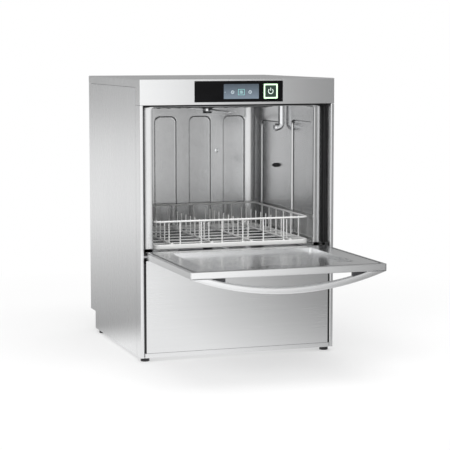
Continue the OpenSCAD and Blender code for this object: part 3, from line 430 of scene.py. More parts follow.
def dress(obj, name):
    obj.data.materials.clear()
    obj.data.materials.append(finish(name, finishes()[name]))


# ---- meshes from arrays ----


class Shape:
    """Points and faces, joined piece by piece before they become one mesh."""

    def __init__(self):
        self.points = []
        self.faces = []
        self.count = 0

    def add(self, points, faces):
        points = np.asarray(points, float).reshape(-1, 3)
        self.points.append(points)
        self.faces += [tuple(int(i) + self.count for i in face) for face in faces]
        self.count += len(points)
        return self

    def grid(self, grid, around=False, along=False, caps=False):
        """A surface from its points, rows by columns. around closes its columns, along its
        rows, and caps closes the first and last row with one face each."""
        grid = np.asarray(grid, float)
        rows, cols = grid.shape[:2]
        i = np.arange(rows if along else rows - 1)
        j = np.arange(cols if around else cols - 1)
        a, b = np.meshgrid(i, j, indexing="ij")
        c, d = (a + 1) % rows, (b + 1) % cols
        quads = np.stack([a * cols + b, a * cols + d, c * cols + d, c * cols + b], -1)
        faces = quads.reshape(-1, 4).tolist()
        if caps:
            faces += [list(range(cols))[::-1], list(range((rows - 1) * cols, rows * cols))]
        return self.add(grid.reshape(-1, 3), faces)

    def mesh(self, name):
        """The points and faces as a mesh."""
        made = bpy.data.meshes.new(name)
        made.from_pydata(np.concatenate(self.points).tolist(), [], self.faces)
        return made


def linked(name, data):
    """A new object in the scene."""
    obj = bpy.data.objects.new(name, data)
    bpy.context.scene.collection.objects.link(obj)
    return obj


def piece(name, shape, material, body, replaces=(), smooth_deg=35.0, recalc=True):
    """An object of the shape that rides on a body, with its finish and the nodes it replaces."""
    mesh = shape.mesh(name)
    work = bmesh.new()
    work.from_mesh(mesh)
    bmesh.ops.remove_doubles(work, verts=work.verts, dist=1e-6)
    bmesh.ops.dissolve_degenerate(work, dist=1e-7, edges=work.edges)
    if recalc:
        bmesh.ops.recalc_face_normals(work, faces=work.faces)
    work.to_mesh(mesh)
    work.free()
    mesh.shade_smooth()
    mesh.set_sharp_from_angle(angle=radians(smooth_deg))
    obj = linked(name, mesh)
    dress(obj, material)
    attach(obj, body)
    if replaces:
        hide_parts(*replaces)
    return obj


def frames(path, closed=False):
    """Unit tangents along a path, and two sides square to them that don't twist.
    The sides come from the one before, less its share along the new tangent."""
    path = np.asarray(path, float)
    if closed:
        tangent = np.roll(path, -1, 0) - np.roll(path, 1, 0)
    else:
        tangent = np.gradient(path, axis=0)
    tangent /= np.linalg.norm(tangent, axis=1)[:, None]
    start = np.eye(3)[np.argmin(np.abs(tangent[0]))]
    sides = np.empty_like(path)
    last = start
    for n, along in enumerate(tangent):
        last = last - along * last.dot(along)
        last /= np.linalg.norm(last)
        sides[n] = last
    return tangent, sides, np.cross(tangent, sides)


def tube(shape, path, radius, sides=16, closed=False):
    """A round tube along a path; radius is one number, or one for each point."""
    path = np.asarray(path, float)
    _, one, two = frames(path, closed)
    turn = np.linspace(0.0, 2 * pi, sides, endpoint=False)
    radius = np.broadcast_to(radius, len(path))[:, None, None]
    ring = np.cos(turn)[None, :, None] * one[:, None] + np.sin(turn)[None, :, None] * two[:, None]
    return shape.grid(path[:, None] + radius * ring, around=True, along=closed, caps=not closed)


def rod(shape, start, end, radius, sides=16, tip=0.0):
    """A straight round bar; tip rounds its far end over that length, as a quarter ellipse."""
    start, end = np.asarray(start, float), np.asarray(end, float)
    span = np.linalg.norm(end - start)
    if not tip:
        return tube(shape, [start, end], radius, sides)
    a = np.linspace(0.0, pi / 2 * 0.96, 6)
    share = np.concatenate([[0.0], 1.0 - tip / span + np.sin(a) * tip / span])
    return tube(shape, start + (end - start) * share[:, None],
                radius * np.concatenate([[1.0], np.cos(a)]), sides)


def arc(centre, one, two, start, end, count=9):
    """Points on an arc: centre + cos(a) one + sin(a) two, for a from start to end in radians."""
    a = np.linspace(start, end, count)[:, None]
    return np.asarray(centre) + np.cos(a) * np.asarray(one) + np.sin(a) * np.asarray(two)


def filleted(points, radius, count=8):
    """A path through corner points, each corner turned into an arc of the radius."""
    points = [np.asarray(p, float) for p in points]
    path = [points[0]]
    for before, corner, after in zip(points, points[1:], points[2:]):
        into = (before - corner) / np.linalg.norm(before - corner)
        out = (after - corner) / np.linalg.norm(after - corner)
        half = acos(float(np.clip(into.dot(out), -1, 1))) / 2
        reach = radius * cos(half) / sin(half)
        middle = corner + (into + out) / np.linalg.norm(into + out) * radius / sin(half)
        start, end = corner + into * reach, corner + out * reach
        one = start - middle
        sweep = pi - 2 * half
        two = (end - middle - one * cos(sweep)) / sin(sweep)
        path += list(arc(middle, one, two, 0.0, sweep, count))
    return np.array(path + [points[-1]])


def loop_outline(low, high, radius, count=6):
    """A rectangle's outline with round corners, anticlockwise, as points in a plane."""
    (x0, y0), (x1, y1) = low, high
    corners = [(x1 - radius, y1 - radius, 0.0), (x0 + radius, y1 - radius, 0.5),
               (x0 + radius, y0 + radius, 1.0), (x1 - radius, y0 + radius, 1.5)]
    ring = []
    for x, y, turn in corners:
        a = np.linspace(turn, turn + 0.5, count) * pi
        ring.append(np.stack([x + radius * np.cos(a), y + radius * np.sin(a)], -1))
    return np.concatenate(ring)


def slab(shape, low, high, corner, soft, axis="z", count=6):
    """A block with round corners and softened rims. Its outline is carried along the axis from
    low to high, and drawn in at both ends by a quarter circle of the radius soft."""
    order = {"z": (0, 1, 2), "y": (0, 2, 1), "x": (1, 2, 0)}[axis]
    low, high = np.asarray(low, float)[list(order)], np.asarray(high, float)[list(order)]
    a = np.linspace(0.0, pi / 2, 4)
    inset = np.concatenate([soft * (1 - np.sin(a)), (soft * (1 - np.sin(a)))[::-1]])
    level = np.concatenate([low[2] + soft * (1 - np.cos(a)), (high[2] - soft * (1 - np.cos(a)))[::-1]])
    rings = []
    for draw, at in zip(inset, level):
        ring = loop_outline(low[:2] + draw, high[:2] - draw, max(corner - draw, 1e-5), count)
        rings.append(np.column_stack([ring, np.full(len(ring), at)]))
    back = np.argsort(order)
    return shape.grid(np.array(rings)[..., back], around=True, caps=True)


def lathe(shape, base, axis, profile, sides=32):
    """A solid of revolution: the profile's (radius, distance) pairs turned about an axis."""
    base, axis = np.asarray(base, float), np.asarray(axis, float)
    axis /= np.linalg.norm(axis)
    one = np.cross(axis, np.eye(3)[np.argmin(np.abs(axis))])
    one /= np.linalg.norm(one)
    two = np.cross(axis, one)
    turn = np.linspace(0, 2 * pi, sides, endpoint=False)
    ring = np.cos(turn)[:, None] * one + np.sin(turn)[:, None] * two
    profile = np.asarray(profile, float)
    grid = base + profile[:, 1, None, None] * axis + profile[:, 0, None, None] * ring
    return shape.grid(grid, around=True, caps=True)


# ---- places worked out from the frame ----


def places():
    """The chamber's clear space, the arm axis and the like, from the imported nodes."""
    low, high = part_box("tank_strainers")
    shell_low, shell_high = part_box("chamber_shell")
    post_low, post_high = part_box("arm_posts")
    fit = 0.3 * MM
    return {
        "x": high.x + fit, "front": low.y - fit, "back": high.y + fit, "foot": 0.3, "ceiling": 0.737,
        "shell_low": shell_low, "shell_high": shell_high, "arm_y": (post_low.y + post_high.y) / 2,
    }


# ---- pieces ----


class WASHER_OT_casing(bpy.types.Operator):
    """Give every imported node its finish"""

    bl_idname = "washer.casing"
    bl_label = "Casing"

    def execute(self, context):
        for name, nodes in CAD_FINISH.items():
            for node in nodes.split():
                dress(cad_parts[node], name)
        return {"FINISHED"}


class WASHER_OT_chamber(bpy.types.Operator):
    """Press the chamber's channelled walls, close its ceiling and fold its front flange"""

    bl_idname = "washer.chamber"
    bl_label = "Pressed chamber"

    def execute(self, context):
        sizes = context.scene.washer_sizes
        at = places()
        fillet, bend = 8 * MM, 2 * MM
        flange_y = at["shell_low"].y
        front = flange_y + bend

        plan, out, channel = chamber_plan(at, sizes, front)
        level = graded(at["foot"], at["ceiling"] - fillet,
                       [(sizes.channel_foot, 1), (sizes.channel_top, -1),
                        (sizes.channel_top - 12 * MM, -1)])
        press = pressing(channel, level, sizes)
        wall = np.empty((len(level), len(plan), 3))
        wall[..., :2] = plan + press[..., None] * out
        wall[..., 2] = level[:, None]
        turn = np.linspace(0.0, pi / 2, 7)[1:, None, None]
        rim = np.empty((6, len(plan), 3))
        rim[..., :2] = plan - fillet * (1 - np.cos(turn)) * out
        rim[..., 2:] = at["ceiling"] - fillet * (1 - np.sin(turn))
        wall = np.concatenate([wall, rim])
        shape = Shape().grid(wall)

        top = wall[-1]
        corner = int(np.argmax(top[:, 1] > top[:, 1].max() - 1e-7))
        back = top[corner:len(plan) - corner]
        share = back[::-1, 0] / back[-1, 0]
        left = top[:corner + 1]
        ceiling = np.empty((len(left), len(share), 3))
        ceiling[..., 0] = -left[:, :1] * share
        ceiling[..., 1] = left[:, 1:2]
        ceiling[..., 2] = at["ceiling"]
        shape.grid(ceiling)

        edge = np.concatenate([wall[:, 0], ceiling[0, ::-1][1:-1], wall[::-1, -1]])
        away = np.zeros_like(edge)
        away[:len(wall), 0], away[-len(wall):, 0] = -1.0, 1.0
        spread = np.concatenate([np.zeros(len(level)), turn.ravel()])
        away[:len(wall)] = np.stack([-np.cos(spread), 0 * spread, np.sin(spread)], -1)
        away[-len(wall):] = (away[:len(wall)] * (-1, 1, 1))[::-1]
        away[len(wall):-len(wall)] = (0.0, 0.0, 1.0)
        angle = np.linspace(0.0, pi / 2, 5)[:, None, None]
        fold = edge + bend * ((1 - np.cos(angle)) * away + np.sin(angle) * np.array((0, -1.0, 0)))
        outer = fold[-1].copy()
        high = at["shell_high"]
        side_rows = np.abs(away[:, 0]) > 0.7
        outer[side_rows, 0] = np.sign(away[side_rows, 0]) * high.x
        outer[:, 2] = np.where(edge[:, 2] < at["ceiling"] - 4 * MM, edge[:, 2], high.z)
        outer[~side_rows, 0] *= high.x / at["x"]
        keep = edge[:, 2] >= 0.3255
        shape.grid(np.stack([*fold, outer])[::-1].transpose(1, 0, 2)[keep])
        shell = piece("pressed_chamber", shape, "chamber", "casing",
                      ["chamber_shell"], smooth_deg=50, recalc=False)
        wall_t = shell.modifiers.new("sheet", "SOLIDIFY")
        wall_t.thickness = sizes.sheet_t
        wall_t.offset = -1.0
        return {"FINISHED"}


def graded(low, high, edges, step=24 * MM):
    """Positions from low to high, close together where a pressing's edge or corner lies.
    edges holds (position, direction): the corner lies on that side of the edge."""
    near = np.array([-0.5, 0, 0.8, 1.6, 2.4, 3.2, 4, 5.5, 8, 11, 14, 17, 20.5]) * MM
    points = [low, high, *np.linspace(low, high, max(2, round((high - low) / step) + 1))]
    for place, way in edges:
        points += list(place + way * near)
    points = np.sort([p for p in points if low <= p <= high])
    keep = np.concatenate([[True], np.diff(points) > 0.35 * MM])
    points = points[keep]
    points[-1] = high
    return points


def chamber_plan(at, sizes, front):
    """The chamber's U from front left to front right: its points, its outward sides, and for
    each point the span of the channel beside it, as (place, low, high, drop) or nans."""
    x, back, r = at["x"], at["back"], sizes.chamber_r
    spans = [(at["front"] + 10 * MM, at["front"] + 187 * MM, 0.0),
             (at["arm_y"] - 24 * MM, back - r - 14 * MM, 12 * MM)]
    ys = graded(front, back - r, [edge for low, high, _ in spans for edge in ((low, 1), (high, -1))])
    middles = [n * sizes.channel_pitch for n in (-1.5, -0.5, 0.5, 1.5)]
    half = sizes.channel_w / 2
    xs = graded(-x + r, x - r, [edge for m in middles for edge in ((m - half, 1), (m + half, -1))])
    xs = (xs - xs[::-1]) / 2
    turn = np.linspace(0.0, pi / 2, 11)[1:-1]
    left = np.column_stack([np.full(len(ys), -x), ys])
    bend = np.column_stack([-x + r - r * np.cos(turn), back - r + r * np.sin(turn)])
    middle = np.column_stack([xs, np.full(len(xs), back)])
    plan = np.concatenate([left, bend, middle, (bend * (-1, 1))[::-1], (left * (-1, 1))[::-1]])

    out_left = np.tile((-1.0, 0.0), (len(left), 1))
    out_bend = np.column_stack([-np.cos(turn), np.sin(turn)])
    out = np.concatenate([out_left, out_bend, np.tile((0.0, 1.0), (len(middle), 1)),
                          (out_bend * (-1, 1))[::-1], out_left * (-1, 1)])

    def beside(values, ranges):
        held = np.full((len(values), 4), np.nan)
        for low, high, drop in ranges:
            inside = (values >= low) & (values <= high)
            held[inside] = np.column_stack([values[inside], np.full((inside.sum(), 3),
                                                                    (low, high, drop))])
        return held

    walls = beside(ys, spans)
    channel = np.concatenate([
        walls, np.full((len(bend), 4), np.nan),
        beside(xs, [(m - half, m + half, 0.0) for m in middles]),
        np.full((len(bend), 4), np.nan), walls[::-1],
    ])
    return plan, out, channel


def pressing(channel, level, sizes, slope=4 * MM, round_top=20 * MM):
    """How far each point of the wall is pressed out: full depth inside a channel's outline,
    easing to nothing at it."""
    place, low, high, drop = channel.T
    top = sizes.channel_top - drop
    half = np.stack([(high - low) / 2, (top - sizes.channel_foot) / 2])
    q = np.stack(np.broadcast_arrays(
        np.abs(place - (low + high) / 2) - half[0] + round_top,
        np.abs(level[:, None] - (top + sizes.channel_foot) / 2) - half[1] + round_top,
    ))
    distance = np.hypot(*np.maximum(q, 0)) + np.minimum(q.max(0), 0) - round_top
    share = np.clip(-np.nan_to_num(distance, nan=1.0) / slope, 0.0, 1.0)
    return sizes.channel_d * share * share * (3 - 2 * share)


class WASHER_OT_seal(bpy.types.Operator):
    """Run the door's double-lipped seal up, across and down the opening"""

    bl_idname = "washer.seal"
    bl_label = "Door seal"

    def execute(self, context):
        low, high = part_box("door_gasket")
        deep = high.y - low.y
        lips = np.array([(0, 0), (0, 13), (0.6, 16.5), (2.4, 19), (4.4, 19.6), (6.4, 18.8), (7.6, 16.4),
                         (8.2, 13.8), (10.8, 13.8), (11.4, 16.4), (13, 18.8), (16, 19.6), (20, 19.3),
                         (22.6, 17.4), (24, 14), (24, 0)]) * MM
        seal_w = 8 * MM
        lips *= (seal_w / (24 * MM), 0.5 * deep / (19.6 * MM))
        inner_x, inner_z = high.x - seal_w, high.z - seal_w / 2
        rings = []
        for side, z in ((-1, low.z), (-1, None), (1, None), (1, low.z)):
            height = inner_z + lips[:, 0] / 2 if z is None else np.full(len(lips), z)
            rings.append(np.column_stack([side * (inner_x + lips[:, 0]), high.y - lips[:, 1], height]))
        shape = Shape().grid(rings, around=True, caps=True)
        piece("door_seal", shape, "rubber", "casing", ["door_gasket"], smooth_deg=50)
        return {"FINISHED"}


def flared(shape, start, end, radius, sides=10, flare=1.45, reach=3.5 * MM, both=True):
    """A coated wire whose coating swells where it is welded on."""
    start, end = np.asarray(start, float), np.asarray(end, float)
    span = np.linalg.norm(end - start)
    share = np.array([0.0, 0.35, 0.7, 1.0]) * reach / span
    swell = np.array([flare, 1.16, 1.03, 1.0])
    stops = np.concatenate([share, 1 - share[::-1]])
    radii = np.concatenate([swell, swell[::-1] if both else np.ones(4)])
    return tube(shape, start + (end - start) * stops[:, None], radius * radii, sides)


class WASHER_OT_rack(bpy.types.Operator):
    """Weld the rack: base ring and floor wires, rim with uprights, and the plate pins"""

    bl_idname = "washer.rack"
    bl_label = "Wire rack"

    def execute(self, context):
        sizes = context.scene.washer_sizes
        low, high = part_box("rack_base")
        rim_low, rim_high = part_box("rack_sides")
        pin_low, pin_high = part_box("rack_pins")
        corner, wide = 24 * MM, 8 * MM

        ring = Shape()
        section = loop_outline((-wide / 2, low.z), (wide / 2, high.z), 2.6 * MM, 5)
        loops = []
        for o, z in section:
            draw = wide / 2 - o
            outline = loop_outline((low.x + draw, low.y + draw), (high.x - draw, high.y - draw),
                                   corner - draw, 9)
            loops.append(np.column_stack([outline, np.full(len(outline), z)]))
        ring.grid(loops, around=True, along=True)
        z = high.z - 5 * MM
        for y in np.arange(low.y + 70 * MM, high.y - 50 * MM, 70 * MM):
            flared(ring, (low.x + wide * 0.8, y, z), (high.x - wide * 0.8, y, z), sizes.wire_r)
        piece("rack_floor", ring, "coat", "rack", ["rack_base"])

        rim = Shape()
        edge = rim_high.x - sizes.rim_wire_r
        middle = (low.y + high.y) / 2
        z = rim_high.z - sizes.rim_wire_r
        path = loop_outline((-edge, middle - edge), (edge, middle + edge), corner - 4 * MM, 9)
        tube(rim, np.column_stack([path, np.full(len(path), z)]), sizes.rim_wire_r, 14, closed=True)
        for place in upright_places(high.x - corner, 65 * MM):
            for s in (-1, 1):
                for x, y in ((s * edge, middle + place), (place, middle + s * edge)):
                    flared(rim, (x, y, rim_low.z), (x, y, z), sizes.wire_r)
        piece("rack_basket", rim, "coat", "rack", ["rack_sides"])

        pins = Shape()
        foot = pin_low.z + sizes.rim_wire_r
        for x in (-186 * MM, -62 * MM, 62 * MM, 186 * MM):
            flared(pins, (x, pin_low.y, foot), (x, pin_high.y, foot), sizes.rim_wire_r, 12, 1.2)
            for y in np.arange(low.y + 40 * MM, high.y - 30 * MM, sizes.pin_pitch):
                flared(pins, (x, y, foot), (x, y, pin_high.z - 6 * MM), sizes.wire_r, both=False)
                rod(pins, (x, y, pin_high.z - 6.1 * MM), (x, y, pin_high.z), sizes.wire_r, 10, 2 * MM)
        piece("plate_pins", pins, "coat", "rack", ["rack_pins"])
        return {"FINISHED"}


def upright_places(reach, pitch):
    """Places of the upright wires along one side, from its middle."""
    n = int(reach / pitch - 0.5)
    return (np.arange(-n - 1, n + 1) + 0.5) * pitch


class WASHER_OT_handle(bpy.types.Operator):
    """Bend the bow handle, its ends cut flush with the door"""

    bl_idname = "washer.handle"
    bl_label = "Bow handle"

    def execute(self, context):
        low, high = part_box("door_handle")
        bar, sag = 18 * MM, high.z - low.z
        outer = (high.x**2 + sag**2) / (2 * sag)
        centre = low.z + outer
        section = loop_outline((outer - bar, low.y), (outer, high.y), 5 * MM, 7)
        share = np.sin(np.linspace(-pi / 2, pi / 2, 91))
        grid = []
        for t in share:
            angle = t * np.arccos((centre - high.z) / section[:, 0])
            grid.append(np.column_stack([section[:, 0] * np.sin(angle), section[:, 1],
                                         centre - section[:, 0] * np.cos(angle)]))
        shape = Shape().grid(grid, around=True, caps=True)
        piece("bow_handle", shape, "handle", "door", ["door_handle"], smooth_deg=45)
        return {"FINISHED"}


class WASHER_OT_pipes(bpy.types.Operator):
    """Bend the fill pipe with its nut and open mouth"""

    bl_idname = "washer.pipes"
    bl_label = "Fill pipe"

    def execute(self, context):
        low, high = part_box("fill_spout")
        radius = 10 * MM
        x, y = high.x - 13 * MM, (low.y + high.y) / 2
        bend_z = low.z + 11.5 * MM
        shape = Shape()
        mouth = low.x + 6 * MM
        path = filleted([(x, y, high.z - 3 * MM), (x, y, bend_z), (mouth, y, bend_z)], 13 * MM, 10)
        tube(shape, path, radius, 28)
        lathe(shape, (mouth + 0.5 * MM, y, bend_z), (-1, 0, 0),
              np.array([(8.6, -4), (11.5, -4), (11.5, 5.6), (10.9, 6.5), (8.6, 6.5), (8.6, 0.2)]) * MM, 28)
        lathe(shape, (x, y, high.z), (0, 0, -1),
              np.array([(13, 0), (13, 3.2), (12.2, 4), (10.6, 4), (10.6, 6.6), (10.1, 7.2)]) * MM, 28)
        piece("fill_pipe", shape, "pipe", "casing", ["fill_spout"], smooth_deg=40)

        low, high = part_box("wall_fittings")
        lid = max(high.z - 9 * MM, low.z)
        knob = Shape()
        side_z = low.z + 9 * MM
        side_y = min(low.y + 9 * MM, high.y)
        lathe(knob, (high.x, side_y, side_z), (-1, 0, 0),
              np.array([(0, 0), (6.5, 0), (6.5, 9), (5.6, 10.5), (3.4, 11), (3.4, 15), (0, 15.6)]) * MM, 24)
        piece("side_knob", knob, "black", "casing", ["wall_fittings"], smooth_deg=40)
        probe = Shape()
        lathe(probe, (low.x + 8 * MM, high.y, lid + MM), (0, -1, 0),
              np.array([(0, 0), (7, 0), (7, 1.2), (3.2, 2), (2.6, 5.4), (0, 5.8)]) * MM, 24)
        piece("wall_probe", probe, "pipe", "casing", smooth_deg=40)
        return {"FINISHED"}


def wash_arm(name, node, body, upward):
    """A moulded two-bladed arm: lens-shaped blades, a stepped hub and raised jets, each jet's slot a thin
    black sheet of painted shade.
    """
    low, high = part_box(node)
    y = (low.y + high.y) / 2
    tip, half = high.x - 17 * MM, 17 * MM
    z0, z1 = low.z + MM, high.z - MM
    ends = tip + half * np.sin(np.linspace(0.0, pi / 2 * 0.97, 8))[1:]
    stations = np.concatenate([-ends[::-1], np.linspace(-1, 1, 33) * tip, ends])
    turn = np.linspace(0.0, 2 * pi, 28, endpoint=False)
    ring_y, ring_z = np.cos(turn), np.sin(turn)
    grid = []
    for x in stations:
        over = max(abs(x) - tip, 0.0)
        wide = np.sqrt(max(half**2 - over**2, 1e-8)) * (0.86 + 0.14 * min(abs(x) / tip, 1.0) ** 2)
        thick = (z1 - z0) / 2 * (1 - 0.3 * (over / half) ** 2)
        grid.append(np.column_stack([
            np.full(len(turn), x),
            y + wide * np.sign(ring_y) * np.abs(ring_y) ** 0.55,
            (z0 + z1) / 2 + thick * np.sign(ring_z) * np.abs(ring_z) ** 0.62,
        ]))
    arm = Shape().grid(grid, around=True, caps=True)
    hub = np.array([(8.1, 0), (22, 0), (24, 1.6), (24, 9.2), (22.4, 11), (17, 11), (16, 10), (11, 10),
                    (10.2, 11), (8.1, 11)]) * MM
    lathe(arm, (0, y, low.z), (0, 0, 1), hub, 40)
    face = high.z - 1.4 * MM if upward else low.z
    # Each jet's slot is a thin black sheet laid on its pad: painted shade in place of the dark opening.
    slot_shade = Shape()
    for n in range(5):
        for s in (-1, 1):
            x, shift = s * (60 + n * 33) * MM, (s * n - 1) * MM
            slab(arm, (x - 4.2 * MM, y + shift - 10.5 * MM, face),
                 (x + 4.2 * MM, y + shift + 10.5 * MM, face + 1.4 * MM), 3 * MM, 0.5 * MM)
            skin = high.z - 0.12 * MM if upward else low.z - 0.03 * MM
            slab(slot_shade, (x - 1.3 * MM, y + shift - 7 * MM, skin),
                 (x + 1.3 * MM, y + shift + 7 * MM, skin + 0.15 * MM), 1.2 * MM, 0.02 * MM)
    piece(name, arm, "arm", body, [node], smooth_deg=40)
    # The black sheets are painted shade for the jet slots.
    piece(name + "_jet_shade", slot_shade, "black", body)


def rinse_arm(name, node, body):
    """A thin rinse arm: pinched steel tubes in a hub, with small fan jets below."""
    low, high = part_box(node)
    mid = (low.z + high.z) / 2
    y = (low.y + high.y) / 2
    reach = high.y - y
    arm = Shape()
    stops = np.array([-1, -0.99, -0.975, -0.95, -0.9, 0.9, 0.95, 0.975, 0.99, 1]) * reach
    radius = 4 * MM
    flat = np.array([0.35, 0.4, 0.55, 0.85, 1, 1, 0.85, 0.55, 0.4, 0.35])
    turn = np.linspace(0, 2 * pi, 18, endpoint=False)
    grid = [np.column_stack([radius * (1.35 - 0.35 * f) * np.cos(turn), np.full(18, y + s),
                             mid + radius * f * np.sin(turn)]) for s, f in zip(stops, flat)]
    arm.grid(grid, around=True, caps=True)
    hub = np.array([(8.1, 0), (14.6, 0), (16, 1.4), (16, 8.6), (14.6, 10), (8.1, 10)]) * MM
    lathe(arm, (0, y, low.z), (0, 0, 1), hub, 36)
    for n in range(5):
        for s in (-1, 1):
            at = y + s * (55 + n * 36) * MM
            lathe(arm, (0, at, mid - 2 * MM), (0, 0, -1),
                  np.array([(2.6, 0), (2.6, 2.2), (2.0, 2.9), (0.8, 2.9), (0.8, 1.8)]) * MM, 12)
    piece(name, arm, "satin", body, [node], smooth_deg=40)


class WASHER_OT_arms(bpy.types.Operator):
    """Mould the wash arms and form the rinse arms"""

    bl_idname = "washer.arms"
    bl_label = "Wash and rinse arms"

    def execute(self, context):
        wash_arm("lower_arm", "lower_wash_arm", "lower_wash", True)
        wash_arm("upper_arm", "upper_wash_arm", "upper_wash", False)
        rinse_arm("lower_sprayer", "lower_rinse_arm", "lower_rinse")
        rinse_arm("upper_sprayer", "upper_rinse_arm", "upper_rinse")
        return {"FINISHED"}


class WASHER_OT_springs(bpy.types.Operator):
    """Wind the two door springs at one length, though the real springs shorten as the door closes"""

    bl_idname = "washer.springs"
    bl_label = "Door springs"

    def execute(self, context):
        sizes = context.scene.washer_sizes
        low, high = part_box("door_springs")
        x, y = high.x - 8 * MM, (low.y + high.y) / 2
        coil_low, coil_high = low.z + 60 * MM, high.z - 24 * MM
        turns = 58
        a = np.linspace(0, turns * 2 * pi, turns * 14 + 1)
        ease = np.clip(np.minimum(a, a[-1] - a) / (1.5 * pi), 0.12, 1.0)
        height = coil_low + (coil_high - coil_low) * a / a[-1]
        shape = Shape()
        for s in (-1, 1):
            path = np.column_stack([s * x + s * sizes.spring_r * ease * np.cos(a),
                                    y + sizes.spring_r * ease * np.sin(a), height])
            path = np.concatenate([[(s * x, y, low.z)], path, [(s * x, y, high.z)]])
            tube(shape, path, sizes.spring_wire_r, 8)
        coils = piece("coil_springs", shape, "bare", "casing", ["door_springs"])
        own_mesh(coils)
        return {"FINISHED"}


def badge(shape, x, z, y, outline, thick):
    """A flat printed mark: the space between two outlines in the display's plane."""
    rows = [np.column_stack([x + ring[:, 0], np.full(len(ring), y), z + ring[:, 1]])
            for ring in outline]
    front = np.array(rows)
    rear = front + (0, thick, 0)
    return shape.grid([front[0], front[1], rear[1], rear[0]], around=True, along=True)


def dot(shape, x, z, y, radius):
    rod(shape, (x, y, z), (x, y + 0.05 * MM, z), radius, 12)


def circle(radius, start=0.0, end=2 * pi, count=40):
    a = np.linspace(start, end, count, endpoint=end - start < 6.28)
    return radius * np.column_stack([np.cos(a), np.sin(a)])


class WASHER_OT_display(bpy.types.Operator):
    """Show the touch screen's marks and print the start button's sign"""

    bl_idname = "washer.display"
    bl_label = "Display"

    def execute(self, context):
        low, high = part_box("touch_screen")
        x, z, y = (low.x + high.x) / 2, (low.z + high.z) / 2, low.y - 0.06 * MM
        marks, frames_ = Shape(), Shape()
        for side in (-1, 1):
            middle = x + side * 27 * MM
            badge(marks, middle, z - 2 * MM, y, (circle(4.6 * MM), circle(3.6 * MM)), 0.05 * MM)
            for lift in (-1.5 * MM, 1.2 * MM):
                dot(marks, middle, z - 2 * MM + lift, y, 0.7 * MM)
        dot(marks, low.x + 4 * MM, z - 2 * MM, y, 0.8 * MM)
        piece("screen_marks", marks, "icon", "casing")
        box = [loop_outline((-r, -r * 0.85), (r, r * 0.85), 1.5 * MM, 5) for r in (10 * MM, 8.8 * MM)]
        badge(frames_, x, z - 2 * MM, y, box, 0.05 * MM)
        piece("screen_frame", frames_, "icon_teal", "casing")
        core = Shape()
        for row in (-1, 0, 1):
            slab(core, (x - 5 * MM, y, z + (row * 3 - 2.7) * MM),
                 (x + (5 - row * row) * MM, y + 0.05 * MM, z + (row * 3 - 1.3) * MM),
                 0.6 * MM, 0.01 * MM, "y")
        piece("screen_tile", core, "icon_tile", "casing")

        low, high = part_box("start_button")
        x, z, y = (low.x + high.x) / 2, (low.z + high.z) / 2, low.y - 0.04 * MM
        sign = Shape()
        gap = radians(38)
        outline = [circle(r, pi / 2 + gap, pi / 2 + 2 * pi - gap) for r in (8.2 * MM, 6.6 * MM)]
        ends = np.concatenate([outline[0], outline[1][::-1]])
        middle = len(outline[0])
        band = [np.column_stack([x + o[:, 0], np.full(middle, y), z + o[:, 1]]) for o in outline]
        rear = [b + (0, 0.08 * MM, 0) for b in band]
        sign.grid(np.array([band[0], band[1], rear[1], rear[0]]).transpose(1, 0, 2), around=True, caps=True)
        slab(sign, (x - 0.8 * MM, y, z + 1.5 * MM), (x + 0.8 * MM, y + 0.08 * MM, z + 10 * MM), 0.7 * MM,
             0.01 * MM, "y")
        piece("start_sign", sign, "sign", "button")
        return {"FINISHED"}


# ---- stage ----


def lamp(name, place, aim, size, power):
    """A soft rectangular light at a place, turned towards a point."""
    light = bpy.data.lights.new(name, "AREA")
    light.shape = "RECTANGLE"
    light.size, light.size_y = size
    light.energy = power
    obj = linked(name, light)
    turn = (Vector(aim) - Vector(place)).to_track_quat("-Z", "Y").to_matrix().to_4x4()
    obj.matrix_world = Matrix.Translation(place) @ turn
    obj.visible_glossy = False


def surround(sizes):
    """The world: white where the camera looks, a soft studio to reflections, even light."""
    world = bpy.data.worlds.new("surround")
    bpy.context.scene.world = world
    world.use_nodes = True
    net = Net(world.node_tree)
    path = net.node("ShaderNodeLightPath")
    sight, gloss = (Value(net, path.socket.node.outputs[key])
                    for key in ("Is Camera Ray", "Is Glossy Ray"))
    around = net.node("ShaderNodeTexCoord", out="Generated")
    side, behind, height = (net.axis(around, n) for n in range(3))
    sky = net.ramp([(0.0, 0.35), (0.5, 0.85), (0.75, 0.95), (1.0, 0.45)], height * 0.5 + 0.5)
    dim = (1.0 - (side * 0.45).clamped()) * (1.0 - (behind * 3.0).clamped() * 0.55) * 1.15
    seen = net.node("ShaderNodeBackground", {}, (WHITE, 1.0))
    shown = net.node("ShaderNodeBackground", {}, (sky, dim))
    even = net.node("ShaderNodeBackground", {}, (WHITE, sizes.world))
    first = net.node("ShaderNodeMixShader", {}, (gloss, even, shown))
    last = net.node("ShaderNodeMixShader", {}, (sight, first, seen))
    net.node("ShaderNodeOutputWorld", {}, {"Surface": last})


